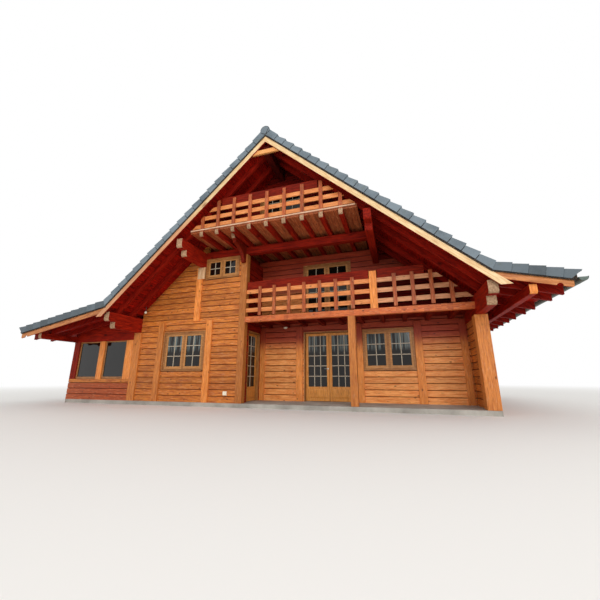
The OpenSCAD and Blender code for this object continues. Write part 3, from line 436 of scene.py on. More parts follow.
def mergedCopy(node, cuts=()):
    # A node's mesh with its flat faces made whole, then cut through at each plane (axis, place)
    work = bmesh.new()
    work.from_mesh(frame["nodes"][node].data)
    bmesh.ops.remove_doubles(work, verts=work.verts, dist=1e-5)
    bmesh.ops.dissolve_limit(work, angle_limit=0.02, verts=work.verts, edges=work.edges)
    for axis, place in cuts:
        square = [float(i == axis) for i in range(3)]
        bmesh.ops.bisect_plane(work, geom=work.verts[:] + work.edges[:] + work.faces[:],
                               plane_co=[place * v for v in square], plane_no=square, dist=1e-6)
    mesh = bpy.data.meshes.new(node + "Dressed")
    work.to_mesh(mesh)
    work.free()
    return mesh


def readAll(items, name, width=3, kind=float):
    # One property of all vertices, edges or faces, a row for each
    values = np.empty(len(items) * width, kind)
    items.foreach_get(name, values)
    return values.reshape(-1, width) if width > 1 else values


def facesOf(mesh):
    # The faces' centres and normals, each as rows of X, Y and Z
    return readAll(mesh.polygons, "center").T, readAll(mesh.polygons, "normal").T


def moveTo(mesh, co):
    mesh.vertices.foreach_set("co", co.ravel())
    mesh.update()


def islandsOf(mesh):
    # The number of the solid that each vertex belongs to: labels spread along edges until none changes
    label = np.arange(len(mesh.vertices))
    ends = readAll(mesh.edges, "vertices", 2, int)
    while True:
        new = label.copy()
        np.minimum.at(new, ends, label[ends].min(1)[:, None])
        new = new[new]
        if (new == label).all():
            return label
        label = new


def solidBoxes(node):
    # The boxes of a node's separate solids, as lowest and highest corners
    mesh = mergedCopy(node)
    co, label = readAll(mesh.vertices, "co"), islandsOf(mesh)
    bpy.data.meshes.remove(mesh)
    return np.array([[co[label == i].min(0), co[label == i].max(0)] for i in np.unique(label)])


bodyOf = {node: body for body, nodes in frame["record"]["behaviour"]["bodies"].items() for node in nodes}


def dressed(node, finishes, mesh, shades, picked=None, bevel=0.0, seams=None):
    # Puts a changed copy of a CAD node in its place; picked numbers each face's finish
    mesh.attributes.new("shade", "FLOAT", "FACE").data.foreach_set("value", shades)
    if seams is not None:
        mesh.attributes.new("seam", "FLOAT", "POINT").data.foreach_set("value", seams)
    piece = placed(node + "Dressed", mesh, finishes, bodyOf[node], [node])
    if picked is not None:
        mesh.polygons.foreach_set("material_index", picked.astype(np.int32))
        mesh.update()
    if bevel:
        edge = piece.modifiers.new("softEdges", "BEVEL")
        edge.width = bevel
        edge.segments = 2
        edge.limit_method = "ANGLE"
        edge.angle_limit = math.radians(50)


def softened(node, finishes, bevel, pick=None, shadeAt=None, cuts=(), reshape=None):
    # A CAD timber with its edges eased. pick(centres, normals) gives the faces their finishes, shadeAt the
    # shade of the solid nearest to each X, cuts are planes (axis, place) where the finish may change, and
    # reshape changes the corners' places.
    mesh = mergedCopy(node, cuts)
    label = islandsOf(mesh)
    co = readAll(mesh.vertices, "co")
    if reshape:
        co = reshape(co)
        moveTo(mesh, co)
    shadeOf = chance.random(len(label))
    for i in np.unique(label) if shadeAt else ():
        middle = (co[label == i, 0].min() + co[label == i, 0].max()) / 2
        shadeOf[i] = shadeAt[min(shadeAt, key=lambda x: abs(x - middle))]
    first = readAll(mesh.polygons, "loop_start", 1, int)
    owner = label[readAll(mesh.loops, "vertex_index", 1, int)[first]]
    dressed(node, finishes, mesh, shadeOf[owner], pick(*facesOf(mesh)) if pick else None, bevel)


def grooved(node, finishes, axis, seams, groove, planes, plainY=None, pick=None):
    # A CAD wall or floor cut at its seams; there the face moves in by depth times 1, 0.32 and 0 at 0, 0.45
    # and 1 times the groove's half width, on each of the planes (axis, place, way in). In front of plainY
    # nothing moves.
    half = groove["half"]
    cuts = [(axis, at + part * half) for at in seams for part in (-1, -0.45, 0, 0.45, 1)]
    if plainY is not None:
        cuts += [(1, plainY), (1, plainY + 0.002)]
    mesh = mergedCopy(node, cuts)
    co = readAll(mesh.vertices, "co")
    away = np.abs(co[:, axis, None] - seams[None]).min(1) / half
    part = np.interp(away, [0, 0.45, 1], [1, 0.32, 0])
    if plainY is not None:
        part[co[:, 1] < plainY + 0.001] = 0
    for flat, at, wayIn in planes:
        on = np.abs(co[:, flat] - at) < 1e-4
        co[on, flat] += wayIn * groove["depth"] * part[on]
    moveTo(mesh, co)
    centres, normals = facesOf(mesh)
    table = np.random.default_rng(len(node)).random(len(seams) + 1)
    dressed(node, finishes, mesh, table[np.searchsorted(seams, centres[axis])],
            pick(centres, normals) if pick else None, seams=part)


# Walls of squared timbers: a seam every course, pressed in as a soft V groove
courses = {"pitch": 0.19, "firstZ": 0.12, "half": 0.019, "depth": 0.022, "wallThick": 0.16, "annexThick": 0.14,
           "annexSill": 0.69, "deckZ": 2.72, "shadedX": 2.95}


def coursedWall(node, finishes, axis, outer, wayIn, pick=None, thick=courses["wallThick"], gables=()):
    low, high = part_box(node)
    seams = np.arange(courses["firstZ"], high.z + courses["pitch"], courses["pitch"])
    seams = seams[(seams > low.z + 0.03) & (seams < high.z - 0.03)]
    planes = [(axis, outer, wayIn), (axis, outer + wayIn * thick, -wayIn), *gables]
    grooved(node, finishes, 2, seams, courses, planes, pick=pick)


# each wall's finishes, the axis that it faces along, its outer face there, and which way is in
coursedWall("front_wall_left", [wallX], 1, front + 0.05, 1)
coursedWall("gable_wall", [gableX], 1, front + 0.05, 1)
coursedWall("porch_back_wall", [paintedLightPorchX], 1, front + 1.45, 1)
# the courses over the porch windows belong to the loggia's wall but are seen under the balcony; past shadedX
# the wall takes the gable's deep red, which is painted shade
coursedWall("loggia_back_wall", [paintedLightPorchX, paintedLightLoggiaX, gableX], 1, front + 1.45, 1,
            lambda c, n: np.where(c[2] < courses["deckZ"], 0, 1 + (c[0] > courses["shadedX"])))
coursedWall("back_wall", [wallX], 1, back - 0.05, -1)
coursedWall("porch_side_wall", [redY], 0, -1.27, -1)
coursedWall("loggia_side_wall", [redY], 0, -1.27, -1)
coursedWall("left_wall", [wallY], 0, -5.45, 1)
coursedWall("right_wall", [wallY], 0, 5.45, -1)
coursedWall("annex_foot_walls", [footX, wallX], 0, -8.3, 1, lambda c, n: c[2] > courses["annexSill"],
            courses["annexThick"], [(1, front, 1), (1, back, -1)])
print("walls cut into courses")

# Floors of boards: the balcony keeps a plain beam along its front
boards = {"pitch": 0.14, "half": 0.006, "depth": 0.006, "beamDeep": 0.14}


def boardedFloor(node, finishes, plainY=None, pick=None):
    low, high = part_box(node)
    seams = np.arange(math.floor(low.x / boards["pitch"]) + 1, high.x / boards["pitch"]) * boards["pitch"]
    seams = seams[(seams > low.x + 0.03) & (seams < high.x - 0.03)]
    grooved(node, finishes, 0, seams, boards, [(2, low.z, 1), (2, high.z, -1)], plainY, pick)


boardedFloor("balcony_deck", [ceilingY, beamX], front + boards["beamDeep"],
             lambda c, n: c[1] < front + boards["beamDeep"])
boardedFloor("attic_floor", [atticY])
print("floors boarded")


# Posts, beams and purlins with eased edges; the posts' own tones by their places
postTones = {-5.35: 0.44, -4.36: 0.41, -2.98: 1.0, -2.46: 0.78, -1.28: 0.14, -1.18: 0.66, 0.165: 0.8,
             2.137: 0.7, 3.93: 0.74, 5.16: 0.62, 5.35: 0.5}


def sawn(c, n):
    # ends and noses, cut across the grain
    return np.abs(n[1]) > 0.3


# each timber's finishes and how wide its edges are eased
softened("corner_posts", [postZ], 0.008, shadeAt=postTones)
softened("wall_posts", [postZ, porchPostZ], 0.008, lambda c, n: c[1] > front + 1, postTones)
softened("porch_post", [postZ], 0.012, shadeAt={2.15: 0.28})
softened("cross_beams", [redX], 0.008)
softened("knee_braces", [redZ], 0.006)
softened("ridge_purlin", [shadedY], 0.006)
# the right noses of the mid purlins keep the red of their sides: painted shade
softened("mid_purlins", [redY, endGrain], 0.006, lambda c, n: sawn(c, n) & (c[0] < 0))
for node in ("wall_plates", "attic_joists"):
    softened(node, [redY, endGrain], 0.006, sawn)
softened("eave_purlins", [redY, endGrain, postZ], 0.006, lambda c, n: sawn(c, n) * (1 + (c[0] > 0)))
for node, finish, ease in (("flower_boxes", boxX, 0.004), ("window_frames", larchX, 0.004),
                           ("door_frames", larchZ, 0.002), ("french_door_left", leafZ, 0.002),
                           ("french_door_right", leafZ, 0.002), ("side_door", leafZ, 0.002)):
    softened(node, [finish], ease)
# annex: head beams over the glass, the tall post at the free corner, both deep red as painted shade, the brighter
# ones beside it
annex = {"headZ": 2.148, "brightX": -7.03, "postX": (-8.03, -7.025, -6.795, -5.79), "tones": {-6.9: 0.9}}
softened("annex_frame", [redZ, postZ, redX], 0.006,
         lambda c, n: np.where(c[2] > annex["headZ"], 2, c[0] > annex["brightX"]), annex["tones"],
         [(2, annex["headZ"])] + [(0, x) for x in annex["postX"]])
# bargeboards: grain along each board; the flare boards show beyond the main boards and in their lap
lap = {"out": 5.56, "kick": 5.25, "low": 5.858, "high": 5.888, "mainRise": 0.049, "flareRise": 0.04,
       "collarX": 0.45, "collarFace": 5.864, "lineOff": 0.035, "flareOff": 0.07, "cornerX": 6.0, "cornerZ": 2.75}


def boardOf(c, n):
    # 0 to 3 for the main and the flare boards, left and right, 4 for the collar, 5 for undersides, which take
    # the rafters' red as painted shade
    x, y = np.abs(c[0]), np.abs(c[1])
    outward = n[1] * c[1] > 0.5
    collar = (x < lap["collarX"]) & ((y < lap["low"]) | (y < lap["collarFace"]) & outward)
    flare = (x > lap["out"]) | (x > lap["kick"]) & (lap["low"] < y) & (y < lap["high"])
    return np.select([collar, n[2] < -0.3], [4, 5], 2 * flare + (c[0] > 0))


def slimmed(co):
    # The boards' lower edges a little higher: main ones by mainRise, their level cuts kept, so each corner there
    # goes out by rise / fall; the right flare board's by flareRise, its corner behind the main board sliding up
    # that board's edge
    x, z = np.abs(co[:, 0]), co[:, 2]
    fall, kick = house["mainFall"], house["kickX"]
    under = (np.abs(z - (house["peakZ"] - fall * x)) < lap["lineOff"]) & (x < kick + 0.2)
    ridgeEnd = under & (x < 0.1)
    line = house["peakZ"] - fall * kick - house["rightFall"] * (x - kick)
    outer = x > lap["cornerX"]
    flare = (co[:, 0] > lap["out"]) & (z < line + lap["flareOff"]) & (outer | (z > lap["cornerZ"]))
    corner = flare & (x < lap["cornerX"])
    co[ridgeEnd, 2] += lap["mainRise"]
    co[under & ~ridgeEnd, 0] *= 1 + lap["mainRise"] / fall / x[under & ~ridgeEnd]
    slide = lap["flareRise"] / (fall - house["rightFall"])
    co[corner, 0] -= slide
    co[corner, 2] += slide * fall
    co[flare & ~corner, 2] += lap["flareRise"]
    return co


for node in ("bargeboards_front", "bargeboards_back"):
    softened(node, [pineLeft, pineRight, flareLeft, flareRight, collarX, redY], 0.005, boardOf,
             cuts=[(0, 0.0)], reshape=slimmed)
print("timbers eased")

# Railings: balusters in front, slats behind them, shades by place because each railing is one solid
rails = {"balconyY": front + 0.045, "atticY": front - 1.13, "postX": 2.7, "postWide": 0.2, "postShade": 0.85,
         "pitch": 0.1, "slatPitch": 0.3}


def railing(node, parting, finishes):
    mesh = mergedCopy(node)
    tone = np.random.default_rng(5).random(400)
    c, n = facesOf(mesh)
    slat = (c[1] > parting + 0.002) | (np.abs(c[1] - parting) < 0.002) & (n[1] < -0.5)
    # only the balcony's railing has a middle post
    x0 = rails["postX"] if node == "balcony_railing" else math.inf
    x1 = x0 + rails["postWide"]
    post, right = (x0 - 0.01 < c[0]) & (c[0] < x1 + 0.01), c[0] > x1
    slatNumber = np.round(c[2] / rails["slatPitch"]) * 7 + (right + 1) * 31
    number = np.where(slat, slatNumber, np.round(c[0] / rails["pitch"]) + 120).astype(int)
    dressed(node, finishes, mesh, np.where(post, rails["postShade"], tone[number % 400]),
            np.select([post, slat], [3, 1 + right], 0), 0.005)


railing("balcony_railing", rails["balconyY"], [balusterZ, slatX, paleSlatX, postZ])
railing("attic_railing", rails["atticY"], [balusterZ, slatX])
# a bare strip nailed along the feet of the attic balusters
strip = {"x": 2.55, "y": front - 1.184, "z": 5.28, "wide": 0.016, "high": 0.04}
newPiece("atticStrip", [bars([[side * strip["x"], strip["y"], strip["z"]] for side in (-1, 1)],
                             strip["wide"], strip["high"], (0, 0, 1), 0.003)], [paleX])
print("railings dressed")


# Roof: courses of flat tiles on a dark deck, verge tiles turned down, round ridge tiles
tiles = {"tail": 0.046, "head": 0.02, "lap": 0.08, "wide": 0.312, "joint": 0.008, "chamfer": 0.008, "lip": 0.095,
         "deckD": 0.315, "vergeThick": 0.018, "vergeInset": 0.008, "eaveCut": 0.15, "headRise": 0.012}
# each plane's courses, its drop from course to course (the left slope's steps show less in the photo), the part
# of its first course under the ridge tiles, its verge plates' joint, lower edge and how much painted shade
# darkens them, and the lower edge of the strip under them
steepPlane = {"courses": 21, "drop": 0.05, "first": 0.23, "joint": 0.016, "low": 0.212, "paintedVergeShade": 0.0,
              "strip": 0.17}
flarePlane = {"courses": 11, "drop": 0.026, "first": 0.0, "joint": 0.006, "low": 0.184, "paintedVergeShade": 1.25,
              "strip": 0.145}
planes = {"leftMain": {**steepPlane, "drop": 0.034}, "rightMain": steepPlane,
          "left": flarePlane, "right": {**flarePlane, "courses": 5, "low": 0.2, "strip": 0.168}}
# each side's name, the fall of its flare and its eave
sides = {-1: ("left", house["leftFall"], house["leftEave"]),
         1: ("right", house["rightFall"], house["rightEave"])}


def slopeLine(side, fall, x, d):
    # A point on a slope: x across, d square above the rafters' undersides
    upper = x if fall == house["mainFall"] else house["kickX"]
    z = house["peakZ"] - house["mainFall"] * upper - fall * (x - upper)
    return np.array([side * x, 0.0, z + d * math.hypot(1, fall)])


def kickAt(fall, d):
    # Where the two planes at depth d meet: both rise from the kick by depth times their steepness
    steeper = math.hypot(1, house["mainFall"]) - math.hypot(1, fall)
    return house["kickX"] + d * steeper / (house["mainFall"] - fall)


def tileSlope(side, fall, x0, x1, plane, upper, lower):
    # Tiles of one plane in its own terms: s runs down the slope from x0, d is the depth above the rafters.
    # Course i ends at first + (i + 1) exposures with its top at topD there and drop lower one exposure further
    # up, so each course lies on the one below. upper and lower give the cut ends' s for each depth.
    steep = math.hypot(1, fall)
    start = slopeLine(side, fall, x0, house["topD"])
    down, out = np.array([side, 0, -fall]) / steep, np.array([side * fall, 0, 1]) / steep
    def onSlope(s, y, d):
        s, y, d = (v[..., None] for v in np.broadcast_arrays(s, y, d))
        return start + down * s + out * (d - house["topD"]) + np.array([0, 1, 0]) * y
    count, drop, first, joint = (plane[key] for key in ("courses", "drop", "first", "joint"))
    show = ((x1 - x0) * steep - first) / count
    half, top, c = house["vergeY"] + 0.03, house["topD"], tiles["chamfer"]
    wide = 2 * half / round(2 * half / tiles["wide"])
    rise, cut = np.array([0, 0, 1, 1, 1, 1]), np.array([0, 0, c, 0, 0, c])
    fields = []
    inner = half - tiles["vergeThick"] - 0.004
    for i in range(count):
        edges = -half + np.arange(0, round(2 * half / wide) + 2) * wide - (wide / 2 if i % 2 else 0)
        edges = np.unique(np.clip(edges, -inner, inner))
        y0, y1 = edges[:-1] + tiles["joint"] / 2, edges[1:] - tiles["joint"] / 2
        ringY = np.stack([y0, y1, y1, y1 - c, y0 + c, y0], 1)
        headD = top - drop * (1 + tiles["lap"] / show if i else 1)
        stations = []
        for s, d, thick in ((first + (i + 1) * show, top, min(tiles["tail"], drop - 0.003)),
                            (first + i * show - tiles["lap"], headD, tiles["head"])):
            depth = d - np.where(rise, cut, thick)
            s = upper(depth) + 0.004 if i == 0 and d < top else np.full(6, s)
            stations.append(onSlope(s[None], ringY, depth[None]))
        fields.append(lofts(np.stack(stations, 1)))
    # verge plates: four-sided, tail and head corners, from their outer face to their inner one
    i = np.arange(count)[:, None]
    depth = np.repeat([[plane["low"], top, top - drop * (1 - joint / show), plane["low"]]], count, 0)
    if first:
        depth[0, 2] = top + tiles["headRise"]      # the first plate runs up beside the ridge cover
    s = first + np.concatenate([(i + 1) * show, (i + 1) * show, i * show + joint, i * show + joint], 1)
    s[0, 2:] = upper(depth[0, 2:]) + joint / 2
    s[-1, :2] = lower(depth[0, :2])
    setIn = np.array([[0, 0, tiles["vergeInset"], tiles["vergeInset"]]])
    for end in (-1, 1):
        y = [end * (half - setIn - t) + i * 0 for t in (0.0, tiles["vergeThick"])]
        plates = np.stack([onSlope(s, v, depth) for v in y], 1)
        # the flares' verge plates are darkened by painted shade
        fields.append(lofts(plates, chance.random(count) - plane["paintedVergeShade"]))
    return fields


def vergeStrip(side, fall, x0, x1, low):
    # Dark sheet under the verge plates: the slope's section from depth low to the deck, 6 mm thick at each gable
    high, y = house["coverD"] + 0.005, house["vergeY"] + 0.005
    foot, head = (kickAt(sides[side][1], d) for d in (low, high))
    ends = [(x0, x0), (foot, head)] if fall == house["mainFall"] else [(foot, head), (x1, x1)]
    corners = np.array([slopeLine(side, fall, ends[0][0], low), slopeLine(side, fall, ends[1][0], low),
                        slopeLine(side, fall, ends[1][1], high), slopeLine(side, fall, ends[0][1], high)])
    return lofts([[corners + [0, end * y, 0], corners + [0, end * (y + 0.006), 0]] for end in (-1, 1)])


def roofSide(side):
    name, fall, eave = sides[side]
    main, flare, steep = planes[name + "Main"], planes[name], house["mainFall"]
    top, lengthM, lengthF = house["topD"], math.hypot(1, steep), math.hypot(1, fall)
    kick = kickAt(fall, top)
    end = eave + house["tileOver"] + tiles["lip"]
    # the cut ends: plumb at the ridge, mitred at the kick, cut back under the eave
    def plumb(d):
        return (top - d) * steep
    def mitreAbove(d):
        return kickAt(fall, d) * lengthM + (top - d) * steep
    def mitreBelow(d):
        return (kickAt(fall, d) - kick) * lengthF + (top - d) * fall
    def eaveEnd(d):
        return (end - kick) * lengthF - tiles["eaveCut"] * (top - d) / (top - flare["low"])
    groups = tileSlope(side, steep, 0.0, kick, main, plumb, mitreAbove)
    groups += tileSlope(side, fall, kick, end, flare, mitreBelow, eaveEnd)
    newPiece(name + "RoofTiles", groups, [tileGrey], replaces=["roof_" + name])
    # the deck under the tiles: the roof's section between two depths, carried along the house
    strips = [vergeStrip(side, steep, 0.0, kick, main["strip"]),
              vergeStrip(side, fall, kick, eave, flare["strip"])]
    d0, d1, far = house["coverD"], tiles["deckD"], eave + house["tileOver"]
    section = np.array([slopeLine(side, *place) for place in (
        (steep, 0, d0), (steep, kickAt(fall, d0), d0), (fall, far, d0),
        (fall, far, d1), (steep, kickAt(fall, d1), d1), (steep, 0, d1))])
    run = np.array([0, house["vergeY"] + 0.002, 0])
    newPiece(name + "RoofDeck", [lofts([[section - run, section + run]])] + strips, [underlay],
             replaces=["roof_" + name])


for side in sides:
    roofSide(side)

ridge = {"radius": 0.149, "drop": 0.13, "long": 0.4, "thick": 0.012, "taper": 0.007, "reach": 1.62,
         "shield": 2.0, "shieldFoot": 7.985, "shieldThick": 0.018,
         "jointTop": (0.128, 8.196), "jointFoot": (0.038, 7.992), "jointWide": 0.016, "jointDeep": 0.0195}


def ridgeTiles():
    # Half-round shells: an outer arc and an inner arc back, between four stations, the far end narrower
    half = house["vergeY"] + 0.049
    ys = np.linspace(-half, half, round(2 * half / ridge["long"]) + 1)
    zc = house["peakZ"] + house["topD"] * math.hypot(1, house["mainFall"]) - ridge["drop"]
    turn = np.linspace(-ridge["reach"], ridge["reach"], 19)
    near, far = ridge["radius"], ridge["radius"] - ridge["taper"]
    def shell(y, r):
        return np.concatenate([arc(0, zc, r, turn, y), arc(0, zc, r - ridge["thick"], turn, y)[::-1]])
    shells = [[shell(a, near), shell(a + 0.05, near), shell(a + 0.052, near - 0.003),
               shell(min(b + 0.03, half), far)] for a, b in zip(ys[:-1], ys[1:])]
    # the covers that close both ends: the round above, running to a point over the verge tiles' mitre
    full = np.linspace(-ridge["shield"], ridge["shield"], 25)
    covers = []
    for y, way in ((-half, 1), (half, -1)):
        discs = []
        for r, off in ((0.965, 0.0), (1.0, 0.005), (1.0, ridge["shieldThick"])):
            face = y + way * off
            ring = np.vstack([arc(0, zc, near - 0.0005, full, face), [[0, face, ridge["shieldFoot"]]]])
            discs.append(ring * [r, 1, 1] + [0, 0, (1 - r) * 0.5 * (zc - ring[:, 2].mean())])
        covers.append(discs)
    newPiece("ridgeTiles", [lofts(shells), lofts(covers)], [tileGrey], replaces=["ridge_cap"],
             smooth=True)
    # a dark joint down the right of each cover
    (topX, topZ), (footX, footZ) = ridge["jointTop"], ridge["jointFoot"]
    seals = bars([[[topX, y, topZ], [footX, y, footZ]] for y in (0.0095 - half, half - 0.0095)],
                 ridge["jointWide"], ridge["jointDeep"], (0, 1, 0), 0.001)
    newPiece("ridgeJoints", [seals], [underlay])


ridgeTiles()

soffit = {"board": 0.115, "gap": 0.004, "thick": 0.022, "edge": 0.005}


def soffitBoards():
    # Boards along the house under each slope, side by side down the rafters' top line
    groups = []
    middle = (house["soffitD"] + house["coverD"]) / 2
    end = np.array([0, house["vergeY"] - 0.04, 0])
    for side, (_, fall, eave) in sides.items():
        kick = kickAt(fall, middle)
        for f, x0, x1 in ((house["mainFall"], 0.0, kick), (fall, kick, eave)):
            a, b = slopeLine(side, f, x0, middle), slopeLine(side, f, x1, middle)
            length = np.linalg.norm(b - a)
            count = round(length / soffit["board"])
            at = a + np.outer((np.arange(count) + 0.5) / count, b - a)
            normal = np.array([side * f, 0, 1]) / math.hypot(1, f)
            groups.append(bars(np.stack([at - end, at + end], 1), length / count - soffit["gap"],
                               soffit["thick"], normal, soffit["edge"]))
    newPiece("soffitStrips", groups, [soffitY], replaces=["soffit_boards"])


soffitBoards()

gutter = {"radius": 0.082, "thick": 0.0028, "bead": 0.0075, "bracketEvery": 0.74, "bracketWide": 0.026,
          "stopThick": 0.003}


def gutterRun():
    # Half-round sheet: outer arc, a bead curled over its free edge, and the inner arc back, along the eave
    low, high = (np.array(v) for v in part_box("gutter"))
    x, z = (low[0] + high[0]) / 2, high[2]
    r, b, thick = gutter["radius"], gutter["bead"], gutter["thick"]
    turn = np.linspace(0.5, 1.5, 25) * math.pi
    def section(y):
        outer = arc(x, z, r, np.linspace(1.5, 0.5, 25) * math.pi, y)
        bead = arc(x + r - b, z, b, np.linspace(0.5, -0.8, 8) * math.pi, y)
        inner = arc(x, z, r - thick, np.linspace(0.53, 1.5, 25) * math.pi, y)
        return np.concatenate([outer, bead[1:], inner])
    def stop(y):
        return arc(x, z, r - 0.001, turn, y)
    def bracket(y):
        return np.concatenate([arc(x, z, r + thick, turn, y), arc(x, z, r + 0.0002, turn[::-1], y)])
    ys = np.arange(low[1] + 0.25, high[1] - 0.2, gutter["bracketEvery"])
    run = [lofts([[section(low[1]), section(high[1])]]),
           lofts([[stop(y), stop(y + way * gutter["stopThick"])] for y, way in ((low[1], 1), (high[1], -1))]),
           lofts([[bracket(y), bracket(y + gutter["bracketWide"])] for y in ys])]
    newPiece("gutterRun", run, [gutterSheet], replaces=["gutter"], smooth=True)


gutterRun()
print("roof laid")


# Windows: sashes and glazing bars in every light, trims round every frame
joinery = {"sash": (0.06, 0.08, 0.04), "sashDeep": 0.022, "bar": 0.024, "barDeep": 0.016,
           "trim": 0.04, "trimDeep": 0.02, "trimLap": 0.03, "frameProud": 0.04, "shadowGap": 0.014}


def wayOut(low, high):
    # The axis that a pane or frame faces along, and which way on it is outside
    axis = 0 if high[0] - low[0] < high[1] - low[1] else 1
    return axis, (1 if low[0] > 0 else -1) if axis == 0 else (1 if low[1] > 3 else -1)


def facing(axis, out, face):
    # For a face across an axis: the function that gives the point at a level place, a height and a distance
    # out of the face, and the face's normal
    def at(level, z, off):
        point = np.zeros(3)
        point[1 - axis], point[2], point[axis] = level, z, face + out * off
        return point
    return at, out * np.eye(3)[axis]


def sashBars(low, high, axis, out, columns, rows, widths):
    # A sash round one light and its glazing bars, on the pane's outer and inner face; the widths are those of
    # its stiles, its bottom rail and its top rail
    at, normal = facing(axis, out, high[axis] if out > 0 else low[axis])
    s, f, h = widths
    u0, u1, z0, z1 = low[1 - axis], high[1 - axis], low[2], high[2]
    sash, glaze = [], []
    for off, sign in ((0.0, 1), (low[axis] - high[axis], -1)):
        o = off + sign * joinery["sashDeep"] / 2
        level = [(at(u0, z, o), at(u1, z, o)) for z in (z0 + f / 2, z1 - h / 2)]
        # stiles stand square to their own rails, so their widths go across the light
        stiles = [(at(u, z0 + f, o), at(u, z1 - h, o)) for u in (u0 + s / 2, u1 - s / 2)]
        sash.append(bars(level + stiles, [f, h, s, s], joinery["sashDeep"], normal, 0.004))
        o = off + sign * joinery["barDeep"] / 2
        fills = [(at(u, z0 + f, o), at(u, z1 - h, o)) for u in np.linspace(u0 + s, u1 - s, columns + 1)[1:-1]]
        fills += [(at(u0 + s, z, o), at(u1 - s, z, o)) for z in np.linspace(z0 + f, z1 - h, rows + 1)[1:-1]]
        if fills:
            glaze.append(bars(fills, joinery["bar"], joinery["barDeep"], normal, 0.003))
    return sash, glaze


def windowJoinery():
    sash, glaze, trims, gaps = [], [], [], []
    for low, high in solidBoxes("window_glass"):
        tall = high[2] - low[2]
        rows = 2 if tall < 0.8 else 3 if tall < 1.4 else 4
        more = sashBars(low, high, *wayOut(low, high), 2, rows, joinery["sash"])
        sash += more[0]
        glaze += more[1]
    w, deep, gap = joinery["trim"], joinery["trimDeep"], joinery["shadowGap"]
    for low, high in solidBoxes("window_frames"):
        axis, out = wayOut(low, high)
        proud = joinery["frameProud"]
        at, normal = facing(axis, out, high[axis] - proud if out > 0 else low[axis] + proud)
        u0, u1, z0, z1 = low[1 - axis], high[1 - axis], low[2], high[2]
        o = deep / 2
        head = (at(u0 - w, z1 + w / 2, o), at(u1 + w, z1 + w / 2, o))
        jambs = [(at(u, z0 + joinery["trimLap"], o), at(u, z1, o)) for u in (u0 - w / 2, u1 + w / 2)]
        trims.append(bars([head] + jambs, w, deep, normal, 0.004))
        if z1 - z0 < 1.5:      # balcony doors stand on the floor and have no sill
            # a dark strip under each sill: painted shadow
            shadowStrip = [at(u, z0 - gap / 2, 0.006) for u in (u0 - w / 2, u1 + w / 2)]
            gaps.append(bars(shadowStrip, gap, 0.012, normal, 0.002))
    newPiece("windowSashes", sash, [sashX])
    newPiece("windowBars", glaze, [barTan])
    newPiece("windowTrims", trims, [larchX])
    newPiece("sillShadowStrips", gaps, [underlay])
    sash = []
    for low, high in solidBoxes("annex_glass"):
        sash += sashBars(low, high, *wayOut(low, high), 1, 1, joinery["sash"])[0]
    newPiece("annexSashes", sash, [larchX])


windowJoinery()

leaves = {"panelLow": 0.235, "panelGap": 0.075, "faceOff": 0.04, "raise": 0.009, "slope": 0.032, "rows": 5}


def leafJoinery(name, glassNode, body, columns):
    # Glazing bars on both faces, and under them a fielded panel: four corners, level, then sloping up and in
    low, high = (np.array(v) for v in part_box(glassNode))
    axis = wayOut(low, high)[0]
    u, out = 1 - axis, 1 if axis == 0 else -1
    middle = (low[axis] + high[axis]) / 2
    glaze = sashBars(low, high, axis, out, columns, leaves["rows"], (0.0, 0.0, 0.0))[1]
    panels = []
    for way in (-1, 1):
        rings = []
        for inset, off in ((0.0, -0.001), (0.0, 0.003), (leaves["slope"], leaves["raise"])):
            u0, u1 = low[u] + inset, high[u] - inset
            z0, z1 = leaves["panelLow"] + inset, low[2] - leaves["panelGap"] - inset
            ring = np.full((4, 3), middle + way * (leaves["faceOff"] + off))
            ring[:, u], ring[:, 2] = [u0, u1, u1, u0], [z0, z0, z1, z1]
            rings.append(ring)
        panels.append(rings)
    newPiece(name + "Bars", glaze, [barTan], body)
    newPiece(name + "Panels", [lofts(panels)], [leafZ], body)


leafJoinery("leftLeaf", "french_glass_left", "left_leaf", 3)
leafJoinery("rightLeaf", "french_glass_right", "right_leaf", 3)
leafJoinery("sideLeaf", "side_door_glass", "side_leaf", 2)
print("joinery fitted")

# Small fittings: a socket cover on the front wall, two lamps, and a boarded shutter beside the upper window
fittings = {"cover": (-1.746, -4.47, 0.40), "coverSize": 0.12, "coverDeep": 0.05,
            "hanging": (-5.02, -4.60, 3.08), "globe": 0.045, "stemTop": 3.31, "ceiling": (-0.31, -3.16, 2.54),
            "shutter": (-3.05, -2.765, 4.13, 4.54), "shutterY": -4.507, "shutterThick": 0.022}


